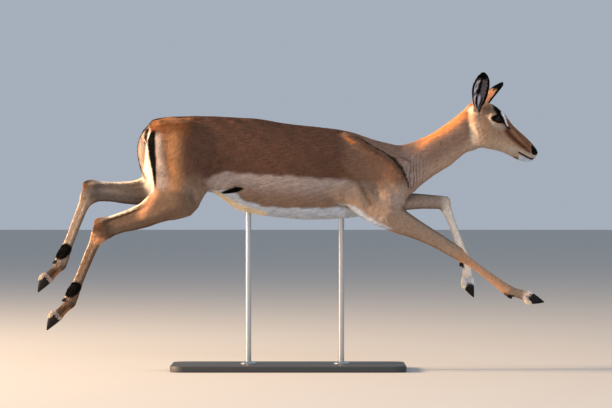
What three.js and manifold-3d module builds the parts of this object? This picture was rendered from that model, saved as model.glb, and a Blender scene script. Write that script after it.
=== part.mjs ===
// Life-size impala ewe at full stretch in a gallop, on a two-rod display stand.
// Millimetres. +X is the way the animal faces, +Y its left side, +Z up, and the
// origin is the middle of the underside of the stand's base.
//
// Every fleshy part is a swept form: an axis with stations along it, each of which gives the
// distance from the axis to the surface ahead of a leg (or above the body), behind it (or below),
// and to each side. They are joined to one body, out to the tips of its hair, which thin cuts then
// part into head, neck, trunk, shoulders and thighs. The long bones' flesh starts at such a cut.
import * as THREE from "three";
import { mergeVertices } from "three/addons/utils/BufferGeometryUtils.js";
import Module from "manifold-3d";

const wasm = await Module();
wasm.setup();

// ---- driving dimensions ----
const GAP = 0.3; // between pieces that meet
const BEND = 22; // half the length over which a bent form turns
const RIGHT = -1, LEFT = 1; // the sides, as signs of y
const SPINE_Z = 655; // height of the trunk's axis
const REAR_X = -470; // rear end of the trunk's axis
const FAR = 4000; // a block this long reaches past the whole animal

// Bone lengths, joint centre to joint centre.
const BONE = {
  forearm: 250, foreCannon: 207, forePastern: 61,
  gaskin: 275, hindCannon: 258, hindPastern: 59,
  toe: 60,
};

// Pose of each leg: the joint that the free leg starts from, then the pitch of each bone
// (0 is forwards, -90 straight down) and how far the bone's end comes in towards the middle.
const POSE = {
  foreRight: {
    side: RIGHT, start: [323, 84, 494],
    pitch: { forearm: -26.2, cannon: -36.7, pastern: -15.5, toe: -21 },
    inward: { forearm: 18, cannon: 10, pastern: 2, toe: 0 },
  },
  foreLeft: {
    side: LEFT, start: [262, 84, 537],
    pitch: { forearm: 2.3, cannon: -70, pastern: -86, toe: -72 },
    inward: { forearm: 18, cannon: 10, pastern: 2, toe: 0 },
  },
  hindRight: {
    side: RIGHT, start: [-340, 88, 543],
    pitch: { gaskin: -162.2, cannon: -113.7, pastern: -133, toe: -126 },
    inward: { gaskin: 20, cannon: 8, pastern: 0, toe: 0 },
  },
  hindLeft: {
    side: LEFT, start: [-372, 88, 572],
    pitch: { gaskin: 178, cannon: -112.3, pastern: -133, toe: -125 },
    inward: { gaskin: 18, cannon: 8, pastern: 0, toe: 0 },
  },
};

// Where the shoulder blade, upper arm and thigh run, with y as on the left side.
const SHOULDER = { top: [200, 50, 758], point: [368, 70, 640], tricepsRear: [150, 80, 600] };
const HIP = { right: [-380, 54, 770], left: [-396, 54, 778] };
const NECK = { from: [362, 0, 650], to: [603, 0, 806] };
const HEAD = { from: [616, 0, 800], to: [804, 0, 708] };
const EYE = { radius: 16.5, at: [679, 31, 816] };
const BROW = { rear: [-26, -1, 10], front: [24, -5, -2] }; // ends of the bulge round an eye, from its middle

// Where the body is parted. Cuts across a bone are measured along it, from its upper joint.
const CUT = { elbow: 38, knee: 250, stifle: 70, hock: 253, coronet: 2, neckBase: 34, throat: 212 };
const INNER_FACE = 40; // how far from the middle a thigh or shoulder parts from the trunk
// Seams of the shoulder and thigh seen from the side, in x and z. Some points keep to the elbow,
// hip or stifle, and are measured from it.
const SEAM = {
  shoulder: [[150, 560], [128, 660], [165, 780], [262, 780], [408, 680]],
  elbow: [[95, 30], [45, -75], [-110, -70]],
  hip: [[-40, 46], [60, 44], [112, -40]],
  stifle: [[95, 80], [60, -75], [-90, -100], [-130, 60]],
  buttock: [[-458, 700]],
};

const CLAW = { apart: 9.8, pinch: 0.82, coronetTilt: 16 }; // half spacing, narrowing to the toes, degrees
const DEW_CLAW = { behind: 17, apart: 9, below: 2, reach: [10, -6] };

// Stations: [along the axis, ahead or above, behind or below, to each side].
const FORM = {
  barrel: [
    [6, 60, 20, 22], [18, 140, 45, 48], [36, 156, 65, 66], [69, 163, 72, 84], [117, 166, 75, 94],
    [182, 167, 75, 98], [232, 166, 80, 98], [262, 166, 104, 99], [300, 164, 131, 101], [345, 162, 144, 104],
    [410, 156, 157, 108], [475, 145, 164, 111], [540, 138, 167, 111], [605, 131, 166, 108],
    [670, 120, 161, 101], [719, 104, 153, 93], [761, 89, 141, 84], [800, 70, 125, 72],
    [832, 48, 106, 58], [855, 25, 85, 40], [866, 8, 65, 20],
  ],
  neck: [
    [-70, 116, 84, 60], [0, 95, 82, 66], [35, 72, 79, 60], [82, 55, 76, 54], [145, 44, 77, 49],
    [187, 44, 71, 45], [225, 46, 70, 43], [264, 49, 75, 42], [300, 56, 58, 38], [318, 52, 36, 28],
  ],
  head: [
    [-46, 44, 24, 18], [-34, 64, 50, 30], [-13, 73, 78, 36], [12, 78, 89, 39], [26, 77, 80, 40.5],
    [38, 75, 67, 41], [66, 65, 58.5, 38], [100, 48, 49.5, 31], [126, 39, 48, 26.5], [155, 31, 48.5, 23],
    [176, 24, 48, 22], [198, 15, 41, 20], [210, 8, 32, 15], [216, 2, 18, 8],
  ],
  scapula: [
    [-16, 4, 12, 8], [0, 12, 30, 15], [60, 21, 60, 26],
    [125, 23, 84, 32], [180, 20, 90, 35], [222, 8, 74, 32],
  ],
  arm: [
    [-40, 16, 24, 20], [0, 30, 50, 34], [50, 36, 60, 38],
    [100, 38, 55, 40], [150, 44, 40, 40], [178, 30, 24, 26],
  ],
  triceps: [
    [-24, 14, 18, 6], [10, 34, 36, 16], [50, 50, 31, 24],
    [90, 55, 28, 30], [130, 50, 29, 34], [190, 42, 35, 38],
  ],
  forearm: [
    [-40, 34, 26, 28], [0, 48, 36, 40], [34, 47, 35, 37], [97, 38, 25, 27], [138, 33, 22, 22.5],
    [175, 29, 21, 20], [212, 24, 22.5, 20], [240, 20, 23, 20.5], [262, 12, 16, 15],
  ],
  foreCannon: [
    [-14, 12, 14, 14], [0, 18, 22, 20], [22, 14, 22, 17], [50, 11, 16.5, 13], [105, 11, 15, 12],
    [150, 12.5, 16.5, 12.5], [185, 14.5, 19, 15.5],
  ],
  forePastern: [[0, 16, 20, 17], [25, 13, 17, 15.5], [45, 14, 18, 17], [62, 15, 23, 18.5], [70, 12, 19, 16]],
  thigh: [
    [-34, 40, 30, 12], [-20, 62, 50, 22], [0, 90, 72, 34], [55, 112, 92, 45], [110, 104, 88, 50],
    [152, 104, 87, 49], [185, 98, 88, 46], [218, 78, 80, 42], [245, 56, 58, 38], [272, 26, 30, 24],
  ],
  gaskin: [
    [-34, 30, 36, 34], [0, 42, 62, 44], [40, 42, 68, 42], [91, 39, 61, 35], [130, 40, 42, 28],
    [174, 37, 35, 22], [208, 33, 33, 18.5], [242, 33, 32, 18], [266, 35, 34, 21], [290, 20, 32, 16],
  ],
  hindCannon: [
    [-36, 14, 28, 12], [-18, 28, 34, 18], [5, 38, 31, 23], [26, 28, 28, 21], [52, 15, 23, 16],
    [98, 12.5, 21.5, 12.5], [168, 13, 19, 12], [206, 15, 20, 14], [229, 18, 24, 16],
  ],
  hindPastern: [
    [0, 20, 21, 18], [25, 16.5, 16, 15.5], [45, 16, 16, 17], [60, 17, 21, 18.5], [68, 14, 18, 16],
  ],
  claw: [
    [-9, 12, 15, 7], [0, 16.5, 20, 8.8], [14, 14.5, 23, 9],
    [30, 10.5, 18, 8.3], [46, 5.5, 10, 5.8], [59, 1.2, 2, 2],
  ],
  brow: [[-8, 10, 10, 8], [6, 19, 20, 15], [24, 22, 22, 17], [42, 19, 20, 15], [58, 8, 9, 7]],
  dewClaw: [[-6, 4, 4, 4], [2, 5.5, 5, 5], [10, 4, 4, 4], [17, 1.5, 1.5, 1.5]],
};

// ---- swept forms ----

// The stations' values at any place along the axis, as a smooth curve through them.
function stationAt(stations, along) {
  const last = stations.length - 1;
  let i = stations.findIndex((s) => s[0] > along) - 1;
  if (i < 0) i = along <= stations[0][0] ? 0 : last - 1;
  const slope = (j, c) => {
    const a = stations[Math.max(j - 1, 0)], b = stations[Math.min(j + 1, last)];
    return (b[c] - a[c]) / (b[0] - a[0]);
  };
  const [p, q] = [stations[i], stations[i + 1]];
  const span = q[0] - p[0], t = (along - p[0]) / span;
  return p.slice(1).map((_, k) => {
    const c = k + 1;
    return p[c] * (1 + 2 * t) * (1 - t) ** 2 + slope(i, c) * span * t * (1 - t) ** 2 +
      q[c] * t * t * (3 - 2 * t) + slope(i + 1, c) * span * t * t * (t - 1);
  });
}

// A closed mesh from rings of as many points each, with a pole in the middle of each end ring.
function loft(rings) {
  const sides = rings[0].length, positions = [], index = [];
  rings.forEach((ring) => ring.forEach((p) => positions.push(p.x, p.y, p.z)));
  const pole = (ring) => {
    const middle = ring.reduce((sum, p) => sum.add(p), new THREE.Vector3()).divideScalar(sides);
    positions.push(middle.x, middle.y, middle.z);
    return positions.length / 3 - 1;
  };
  const first = pole(rings[0]), end = pole(rings.at(-1)), endRing = (rings.length - 1) * sides;
  for (let s = 0; s < sides; s++) {
    const n = (s + 1) % sides;
    for (let r = 0; r < rings.length - 1; r++) {
      const a = r * sides + s, b = r * sides + n, c = a + sides, d = b + sides;
      index.push(a, b, d, a, d, c);
    }
    index.push(first, n, s, end, endRing + s, endRing + n);
  }
  return new THREE.BufferGeometry()
    .setAttribute("position", new THREE.Float32BufferAttribute(positions, 3))
    .setIndex(index);
}

// One ring of a swept form: half an ellipse ahead of (above) the middle and half behind (below).
function ring(middle, ahead, across, [front, back, side], sides, grow) {
  return Array.from({ length: sides }, (_, i) => {
    const a = (2 * Math.PI * i) / sides, up = Math.sin(a);
    return middle.clone()
      .addScaledVector(ahead, ((up > 0 ? front : back) + grow) * up)
      .addScaledVector(across, (side + grow) * Math.cos(a));
  });
}

// Directions of a form whose axis runs along `axis`: across is sideways, ahead is square to both.
function directions(axis) {
  const across = new THREE.Vector3(0, 1, 0).addScaledVector(axis, -axis.y).normalize();
  return { across, ahead: new THREE.Vector3().crossVectors(axis, across) };
}

// A solid swept along a path of joints, with its stations measured from the first one. Round an
// inner joint the rings turn evenly over BEND on either side of it.
function sweep(path, stations, { rings = 10, sides = 12, grow = 0 } = {}) {
  const points = path.map((p) => (p.isVector3 ? p : new THREE.Vector3(...p)));
  const axes = points.slice(1).map((p, i) => toward(points[i], p));
  const starts = [0];
  points.slice(1).forEach((p, i) => starts.push(starts[i] + p.distanceTo(points[i])));
  const place = (along) => {
    const k = starts.slice(1, -1).filter((d) => along > d).length;
    const axis = axes[k].clone();
    [[k - 1, along - starts[k]], [k + 1, starts[k + 1] - along]].forEach(([other, distance]) => {
      if (axes[other] && distance < BEND) axis.lerp(axes[other], 0.5 * (1 - distance / BEND)).normalize();
    });
    return { middle: points[k].clone().addScaledVector(axes[k], along - starts[k]), axis };
  };
  const low = stations[0][0], high = stations.at(-1)[0];
  return solid(loft(Array.from({ length: rings + 1 }, (_, i) => {
    // half of the spacing is even, and half crowds towards the ends, where the form closes
    const u = i / rings, along = low + (high - low) * (0.5 * u + 0.25 * (1 - Math.cos(Math.PI * u)));
    const { middle, axis } = place(along), { ahead, across } = directions(axis);
    middle.addScaledVector(axis, i === 0 ? -grow : i === rings ? grow : 0);
    return ring(middle, ahead, across, stationAt(stations, along), sides, grow);
  })));
}

// ---- solids and meshes ----
function solid(geometry) {
  geometry.deleteAttribute("normal");
  geometry.deleteAttribute("uv");
  const merged = mergeVertices(geometry, 1e-4);
  return new wasm.Manifold(new wasm.Mesh({
    numProp: 3,
    vertProperties: new Float32Array(merged.attributes.position.array),
    triVerts: new Uint32Array(merged.index.array),
  }));
}

const join = (...solids) => solids.reduce((a, b) => a.add(b));
const cut = (from, ...cutters) => cutters.reduce((a, b) => a.subtract(b), from);

// Everything on one side of a plane: a block far larger than the animal, with one face on the plane.
function halfSpace(point, outward) {
  const block = new THREE.BoxGeometry(FAR, FAR, FAR).translate(0, 0, -FAR / 2);
  block.applyQuaternion(new THREE.Quaternion().setFromUnitVectors(new THREE.Vector3(0, 0, 1), outward));
  return solid(block.translate(point.x, point.y, point.z));
}

// The part of a solid beyond or before a plane square to `axis`, half a gap away from it.
const beyond = (made, point, axis) =>
  made.intersect(halfSpace(point.clone().addScaledVector(axis, GAP / 2), axis.clone().negate()));
const before = (made, point, axis) =>
  made.intersect(halfSpace(point.clone().addScaledVector(axis, -GAP / 2), axis));

function mesh(name, made, material) {
  const { numProp, vertProperties, triVerts, numVert } = made.getMesh();
  const positions = new Float32Array(numVert * 3);
  for (let i = 0; i < numVert; i++) {
    positions.set(vertProperties.subarray(i * numProp, i * numProp + 3), i * 3);
  }
  const geometry = new THREE.BufferGeometry()
    .setAttribute("position", new THREE.BufferAttribute(positions, 3))
    .setIndex(new THREE.BufferAttribute(new Uint32Array(triVerts), 1));
  geometry.computeVertexNormals();
  const part = new THREE.Mesh(geometry, material);
  part.name = name;
  return part;
}

const matt = (color, roughness, metalness = 0) =>
  new THREE.MeshStandardMaterial({ color, roughness, metalness });
const MATERIAL = {
  back: matt(0x8a4f2c, 0.85), leg: matt(0xb08a66, 0.85), horn: matt(0x1d1b1c, 0.45),
  eye: matt(0x0b0808, 0.08), base: matt(0x3a3b3d, 0.55), steel: matt(0x9a9c9f, 0.3, 1),
};

// ---- skeleton ----
const rad = THREE.MathUtils.degToRad;

// The joints of a free leg, from its first joint to its toe.
function joints(pose, bones) {
  let p = new THREE.Vector3(pose.start[0], pose.side * pose.start[1], pose.start[2]);
  return [p, ...bones.map(([name, length]) => {
    const sideways = -pose.side * pose.inward[name], flat = Math.sqrt(length ** 2 - sideways ** 2);
    const a = rad(pose.pitch[name]);
    p = p.clone().add(new THREE.Vector3(flat * Math.cos(a), sideways, flat * Math.sin(a)));
    return p;
  })];
}
const foreJoints = (pose) => joints(pose, [
  ["forearm", BONE.forearm], ["cannon", BONE.foreCannon], ["pastern", BONE.forePastern], ["toe", BONE.toe],
]);
const hindJoints = (pose) => joints(pose, [
  ["gaskin", BONE.gaskin], ["cannon", BONE.hindCannon], ["pastern", BONE.hindPastern], ["toe", BONE.toe],
]);
const toward = (a, b) => b.clone().sub(a).normalize();
const along = (a, b, d) => a.clone().addScaledVector(toward(a, b), d);

// ---- legs ----
const mirrored = (point, side) => [point[0], side * point[1], point[2]];
const from = (joint, offsets) => offsets.map(([x, z]) => [joint.x + x, joint.z + z]);

// The top plane of the hooves of one foot.
function coronetPlane(coronet, toe) {
  const down = toward(coronet, toe), { across } = directions(down);
  const axis = down.applyAxisAngle(across, rad(CLAW.coronetTilt));
  return { point: along(coronet, toe, CUT.coronet), axis };
}

function claws(name, coronet, toe, plane) {
  const { across } = directions(toward(coronet, toe));
  return [["outer", 1], ["inner", -1]].map(([which, away]) => {
    const shift = Math.sign(coronet.y) * away * CLAW.apart;
    const top = coronet.clone().addScaledVector(across, shift);
    const tip = toe.clone().addScaledVector(across, shift * CLAW.pinch);
    const claw = sweep([top, tip], FORM.claw, { rings: 4, sides: 7 });
    return mesh(`hoof_${name}_${which}`, beyond(claw, plane.point, plane.axis), MATERIAL.horn);
  });
}

// Two dew claws behind a fetlock, pointing down and back.
function dewClaws(fetlock, pastern) {
  const down = toward(fetlock, pastern), { ahead, across } = directions(down);
  const [along, back] = DEW_CLAW.reach;
  return [-1, 1].map((which) => {
    const root = fetlock.clone().addScaledVector(ahead, -DEW_CLAW.behind)
      .addScaledVector(across, which * DEW_CLAW.apart).addScaledVector(down, DEW_CLAW.below);
    const tip = root.clone().addScaledVector(down, along).addScaledVector(ahead, back);
    return sweep([root, tip], FORM.dewClaw, { rings: 2, sides: 5 });
  });
}

// The cannon, fetlock and pastern, as one piece from the knee or hock to the hooves.
function lowerLeg(top, fetlock, coronet, plane, cannonForm, pasternForm) {
  const length = top.distanceTo(fetlock);
  const form = [...cannonForm, ...pasternForm.map(([t, ...reach]) => [t + length, ...reach])];
  const shaft = sweep([top, fetlock, coronet], form, { rings: 13, sides: 8 });
  return join(before(shaft, plane.point, plane.axis), ...dewClaws(fetlock, coronet));
}

// A leg's free part, as meshes, and its root, which is part of the body until it is cut from it.
// The long bone's flesh is parted from the root and from the cannon by planes square to it.
function limb({ name, muscles, bone, boneForm, rootCut, lowCut, cannonForm, pasternForm, names }) {
  const [top, low, fetlock, coronet, toe] = bone;
  const axis = toward(top, low), rootPoint = along(top, low, rootCut), lowPoint = along(top, low, lowCut);
  const plane = coronetPlane(coronet, toe);
  const long = (grow) => sweep([top, low], boneForm, { rings: 9, sides: 10, grow });
  const lower = lowerLeg(low, fetlock, coronet, plane, cannonForm, pasternForm);
  return {
    root: before(join(...muscles, long(0)), rootPoint, axis),
    meshes: [
      [`${names[0]}_${name}`, (room) => cut(before(beyond(long(0), rootPoint, axis), lowPoint, axis), room)],
      [`${names[1]}_${name}`, () => beyond(join(lower, long(0)), lowPoint, axis)],
    ],
    claws: claws(name, coronet, toe, plane),
  };
}

function foreLeg(name, pose) {
  const bone = foreJoints(pose), elbow = bone[0];
  const [top, point, rear] = ["top", "point", "tricepsRear"].map((key) => mirrored(SHOULDER[key], pose.side));
  const muscles = [
    sweep([top, point], FORM.scapula, { rings: 5, sides: 10 }),
    sweep([point, elbow], FORM.arm, { rings: 5, sides: 9 }),
    sweep([rear, elbow], FORM.triceps, { rings: 4, sides: 9 }),
  ];
  const seam = [...SEAM.shoulder, ...from(elbow, SEAM.elbow)];
  return {
    name, seam, side: pose.side, rootName: `shoulder_${name}`,
    ...limb({
      name, muscles, bone, boneForm: FORM.forearm, rootCut: CUT.elbow, lowCut: CUT.knee,
      cannonForm: FORM.foreCannon, pasternForm: FORM.forePastern, names: ["forearm", "cannon"],
    }),
  };
}

function hindLeg(name, pose, hip) {
  const bone = hindJoints(pose), stifle = bone[0];
  const hipPoint = new THREE.Vector3(...mirrored(hip, pose.side));
  const inner = stifle.clone().add(new THREE.Vector3(-6, -12 * pose.side, 4)); // the thigh's lower end
  const muscles = [sweep([hipPoint, inner], FORM.thigh, { rings: 8, sides: 12 })];
  const seam = [...from(hipPoint, SEAM.hip), ...from(stifle, SEAM.stifle), ...SEAM.buttock];
  return {
    name, seam, side: pose.side, rootName: `thigh_${name}`,
    ...limb({
      name, muscles, bone, boneForm: FORM.gaskin, rootCut: CUT.stifle, lowCut: CUT.hock,
      cannonForm: FORM.hindCannon, pasternForm: FORM.hindPastern, names: ["gaskin", "cannon"],
    }),
  };
}

// The block that parts a shoulder or thigh from the trunk: its seam seen from the side, and a
// flat inner face. `grow` pushes every face outwards; a corner goes further than its edges do.
const CORNER_GROWTH = 1.5;
function partingBlock({ seam, side }, grow) {
  const [cx, cz] = [0, 1].map((c) => seam.reduce((sum, p) => sum + p[c], 0) / seam.length);
  const points = seam.map(([x, z]) => {
    const away = new THREE.Vector2(x - cx, z - cz);
    return away.setLength(away.length() + grow * CORNER_GROWTH).add(new THREE.Vector2(cx, cz));
  });
  const depth = 300; // well past the body's side
  const block = new THREE.ExtrudeGeometry(new THREE.Shape(points), { depth, bevelEnabled: false });
  block.rotateX(Math.PI / 2); // the outline now lies in x and z, and the block reaches towards -y
  block.translate(0, side === RIGHT ? -INNER_FACE + grow : INNER_FACE - grow + depth, 0);
  return solid(block);
}

// ---- trunk, neck and head ----
const barrel = (grow) =>
  sweep([[REAR_X, 0, SPINE_Z], [REAR_X + 900, 0, SPINE_Z]], FORM.barrel, { rings: 18, sides: 18, grow });
const neckForm = (grow) => sweep([NECK.from, NECK.to], FORM.neck, { rings: 11, sides: 16, grow });
const brow = (side, grow) => {
  const ends = [BROW.rear, BROW.front].map((shift) => mirrored(EYE.at.map((c, i) => c + shift[i]), side));
  return sweep(ends, FORM.brow, { rings: 4, sides: 8, grow });
};
const headForms = (grow) => [
  sweep([HEAD.from, HEAD.to], FORM.head, { rings: 13, sides: 14, grow }), brow(RIGHT, grow), brow(LEFT, grow),
];

const neckStart = new THREE.Vector3(...NECK.from);
const neckAxis = toward(neckStart, new THREE.Vector3(...NECK.to));
const onNeck = (distance) => neckStart.clone().addScaledVector(neckAxis, distance);

// ---- ears ----
// A cupped leaf. Its section is an arc that opens towards `facing`, widest near the middle and
// closing to a point at the tip; the inside and the outside are a wall apart.
const EAR_WALL = 4.5;
const EAR_BOW = 12; // how far the middle of the ear's back bows outwards
const EAR = {
  right: { base: [609, -26, 848], tip: [627, -98, 961], facing: [0.35, -0.92, 0.1] },
  left: { base: [615, 26, 853], tip: [697, 88, 936], facing: [0.64, 0.22, -0.73] },
};
const EAR_FORM = [
  [0, 15, 118], [0.12, 20, 104], [0.3, 27, 84], [0.5, 29, 66],
  [0.68, 27.5, 54], [0.84, 21, 44], [0.95, 12, 34], [1, 4, 24],
]; // place along the ear, half its width, half the angle that its section turns through

// A closed wall between two grids of points, joined along their four edges.
function wall(outer, inner) {
  const rows = outer.length, columns = outer[0].length, positions = [], index = [];
  [outer, inner].forEach((grid) => grid.forEach((row) => row.forEach((p) => positions.push(p.x, p.y, p.z))));
  const at = (r, c, inside) => (inside ? rows * columns : 0) + r * columns + c;
  const quad = (a, b, c, d) => index.push(a, b, c, a, c, d);
  for (let r = 0; r < rows - 1; r++) {
    for (let c = 0; c < columns - 1; c++) {
      quad(at(r, c), at(r, c + 1), at(r + 1, c + 1), at(r + 1, c));
      quad(at(r, c, 1), at(r + 1, c, 1), at(r + 1, c + 1, 1), at(r, c + 1, 1));
    }
    quad(at(r, 0), at(r + 1, 0), at(r + 1, 0, 1), at(r, 0, 1));
    quad(at(r + 1, columns - 1), at(r, columns - 1), at(r, columns - 1, 1), at(r + 1, columns - 1, 1));
  }
  for (let c = 0; c < columns - 1; c++) {
    quad(at(0, c + 1), at(0, c), at(0, c, 1), at(0, c + 1, 1));
    quad(at(rows - 1, c), at(rows - 1, c + 1), at(rows - 1, c + 1, 1), at(rows - 1, c, 1));
  }
  return new THREE.BufferGeometry()
    .setAttribute("position", new THREE.Float32BufferAttribute(positions, 3))
    .setIndex(index);
}

function ear({ base, tip, facing }) {
  const root = new THREE.Vector3(...base), end = new THREE.Vector3(...tip);
  const up = toward(root, end), length = root.distanceTo(end);
  const open = new THREE.Vector3(...facing);
  open.addScaledVector(up, -open.dot(up)).normalize();
  const across = new THREE.Vector3().crossVectors(open, up);
  const steps = 7, around = 6;
  const skin = (inside) => Array.from({ length: steps + 1 }, (_, i) => {
    const v = i / steps, [half, cup] = stationAt(EAR_FORM, v);
    const turn = rad(cup), radius = half / Math.sin(Math.min(turn, Math.PI / 2));
    const reach = radius + (inside ? -0.5 : 0.5) * Math.min(EAR_WALL, half * 0.7); // thinner at the tip
    return Array.from({ length: around + 1 }, (_, k) => {
      const a = -turn + (2 * turn * k) / around;
      const depth = radius - reach * Math.cos(a) - EAR_BOW * Math.sin(Math.PI * v);
      return root.clone().addScaledVector(up, v * length)
        .addScaledVector(across, reach * Math.sin(a)).addScaledVector(open, depth);
    });
  });
  return solid(wall(skin(false), skin(true)));
}

// ---- tail ----
// It hangs from the dock, lies against the buttocks and ends in a soft tuft.
const TAIL_PATH = [
  [-440, 0, 806], [-466, 0, 788], [-479, 0, 752], [-482, 0, 716],
  [-478, 0, 680], [-472, 0, 648], [-467, 0, 618],
];
const TAIL_FORM = [
  [0, 13, 13, 16], [0.15, 12, 12, 17], [0.4, 11, 11, 21],
  [0.65, 9.5, 9.5, 20], [0.85, 7.5, 7.5, 14], [1, 2, 2, 4],
];

function tail(grow) {
  const curve = new THREE.CatmullRomCurve3(TAIL_PATH.map((p) => new THREE.Vector3(...p)));
  const steps = 10;
  return solid(loft(Array.from({ length: steps + 1 }, (_, i) => {
    const u = i / steps, { ahead, across } = directions(curve.getTangentAt(u));
    return ring(curve.getPointAt(u), ahead, across, stationAt(TAIL_FORM, u), 8, grow);
  })));
}

// ---- stand ----
const STAND = {
  base: [760, 360, 20], corner: 45, edge: 3,
  rod: 9, rodAt: [-130, 172], into: 24, // a rod's radius, its places along x, and its depth in the belly
  collar: [26, 9, 14], // foot radius, height, top radius
};
const rodTop = (x) => SPINE_Z - stationAt(FORM.barrel, x - REAR_X)[1] + STAND.into;

function standBase() {
  const [length, width, height] = STAND.base;
  const [x, y, r, e] = [length / 2 - STAND.edge, width / 2 - STAND.edge, STAND.corner, STAND.edge];
  const outline = new THREE.Shape();
  outline.moveTo(-x + r, -y).lineTo(x - r, -y).absarc(x - r, -y + r, r, -Math.PI / 2, 0)
    .lineTo(x, y - r).absarc(x - r, y - r, r, 0, Math.PI / 2)
    .lineTo(-x + r, y).absarc(-x + r, y - r, r, Math.PI / 2, Math.PI)
    .lineTo(-x, -y + r).absarc(-x + r, -y + r, r, Math.PI, 1.5 * Math.PI);
  const plate = new THREE.ExtrudeGeometry(outline, {
    depth: height - 2 * e, bevelThickness: e, bevelSize: e, bevelSegments: 1, curveSegments: 3,
  });
  plate.translate(0, 0, e);
  return solid(plate);
}

function cylinder(radius, low, high, x, sides = 14) {
  const made = new THREE.CylinderGeometry(radius, radius, high - low, sides);
  made.rotateX(Math.PI / 2).translate(x, 0, (low + high) / 2);
  return solid(made);
}

function collar(x) {
  const [foot, height, top] = STAND.collar, bore = STAND.rod + GAP, low = STAND.base[2] + GAP;
  const profile = [[bore, 0], [foot, 0], [foot, 3], [top, height], [bore, height], [bore, 0]];
  const made = new THREE.LatheGeometry(profile.map(([r, h]) => new THREE.Vector2(r, h)), 14);
  made.rotateX(Math.PI / 2).translate(x, 0, low);
  return solid(made);
}

// ---- assembly ----
const legs = [
  foreLeg("front_right", POSE.foreRight), foreLeg("front_left", POSE.foreLeft),
  hindLeg("hind_right", POSE.hindRight, HIP.right), hindLeg("hind_left", POSE.hindLeft, HIP.left),
];
const eyes = [["eye_right", RIGHT], ["eye_left", LEFT]].map(([name, side]) => {
  const [x, y, z] = EYE.at;
  const ball = (grow) => solid(new THREE.SphereGeometry(EYE.radius + grow, 10, 7).translate(x, side * y, z));
  return { name, made: ball(0), socket: ball(GAP) };
});

const body = join(barrel(0), neckForm(0), ...headForms(0), ...legs.map((leg) => leg.root));
const blocks = legs.map((leg) => partingBlock(leg, GAP));
const rodHoles = STAND.rodAt.map((x) => cylinder(STAND.rod + GAP, STAND.base[2], rodTop(x) + GAP, x));
const base = onNeck(CUT.neckBase), throat = onNeck(CUT.throat);
const trunk = cut(before(body, base, neckAxis), ...blocks, tail(GAP), ...rodHoles);
const neck = cut(before(beyond(body, base, neckAxis), throat, neckAxis), ...blocks.slice(0, 2));
const head = cut(beyond(body, throat, neckAxis), ...eyes.map((e) => e.socket));
const headRoom = join(neckForm(GAP), ...headForms(GAP)), trunkRoom = join(barrel(GAP), tail(GAP));

const group = new THREE.Group();
const fleshParts = {
  trunk, neck, head, tail: tail(0),
  ear_right: cut(ear(EAR.right), headRoom), ear_left: cut(ear(EAR.left), headRoom),
};
Object.entries(fleshParts).forEach(([name, made]) => group.add(mesh(name, made, MATERIAL.back)));
group.add(...eyes.map((e) => mesh(e.name, e.made, MATERIAL.eye)));
legs.forEach((leg) => {
  group.add(mesh(leg.rootName, cut(body.intersect(partingBlock(leg, 0)), tail(GAP)), MATERIAL.leg));
  group.add(...leg.meshes.map(([name, made]) => mesh(name, made(trunkRoom), MATERIAL.leg)), ...leg.claws);
});
group.add(mesh("stand_base", standBase(), MATERIAL.base));
[["rear", STAND.rodAt[0]], ["front", STAND.rodAt[1]]].forEach(([place, x]) => {
  const rod = cylinder(STAND.rod, STAND.base[2] + GAP, rodTop(x), x);
  group.add(mesh(`stand_rod_${place}`, rod, MATERIAL.steel));
  group.add(mesh(`stand_collar_${place}`, collar(x), MATERIAL.steel));
});

export default group;
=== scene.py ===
import bpy
import numpy as np
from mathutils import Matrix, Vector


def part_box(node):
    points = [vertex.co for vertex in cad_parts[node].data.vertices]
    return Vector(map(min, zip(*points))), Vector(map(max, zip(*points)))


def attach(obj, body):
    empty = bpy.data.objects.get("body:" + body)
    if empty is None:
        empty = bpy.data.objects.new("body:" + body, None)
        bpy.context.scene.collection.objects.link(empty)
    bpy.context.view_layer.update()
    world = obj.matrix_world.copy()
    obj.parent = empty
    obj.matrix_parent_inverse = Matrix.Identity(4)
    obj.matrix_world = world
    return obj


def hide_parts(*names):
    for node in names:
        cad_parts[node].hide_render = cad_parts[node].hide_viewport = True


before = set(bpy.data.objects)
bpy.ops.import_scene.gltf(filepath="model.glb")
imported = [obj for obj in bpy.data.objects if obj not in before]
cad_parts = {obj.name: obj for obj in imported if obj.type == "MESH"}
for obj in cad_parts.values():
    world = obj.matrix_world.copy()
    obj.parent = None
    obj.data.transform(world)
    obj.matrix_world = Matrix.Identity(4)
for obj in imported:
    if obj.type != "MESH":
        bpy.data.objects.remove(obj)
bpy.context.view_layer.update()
mm = 0.001
draws = np.random.default_rng(11)
# further from a surface than any blend reaches, and how far from a detail its shape is worked out
farOff = 60.0
nearDetail = {"tail": 170, "ear": 190, "eye": 60, "nostril": 30, "lids": 48}
print("frame loaded:", len(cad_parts), "nodes")


# Small helpers on whole arrays.
def unit(v):
    # the same directions with a length of 1
    return v / np.maximum(np.linalg.norm(v, axis=-1, keepdims=True), 1e-9)


def ease(low, high, x):
    # 0 below low, 1 above high, and a smooth step between
    t = np.clip((x - low) / (high - low), 0, 1)
    return t * t * (3 - 2 * t)


def bump(x, width):
    # a bell: 1 in the middle, falling off over the width
    return np.exp(-((x / width) ** 2))


def joinSmooth(a, b, blend):
    # the nearer of two surfaces, with the corner between them filled over the blend
    return np.minimum(a, b) - np.maximum(blend - np.abs(a - b), 0) ** 2 / (4 * blend)


def cutSmooth(a, b, blend):
    # the further of two surfaces, with its corner rounded over the blend
    return -joinSmooth(-a, -b, blend)


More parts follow.
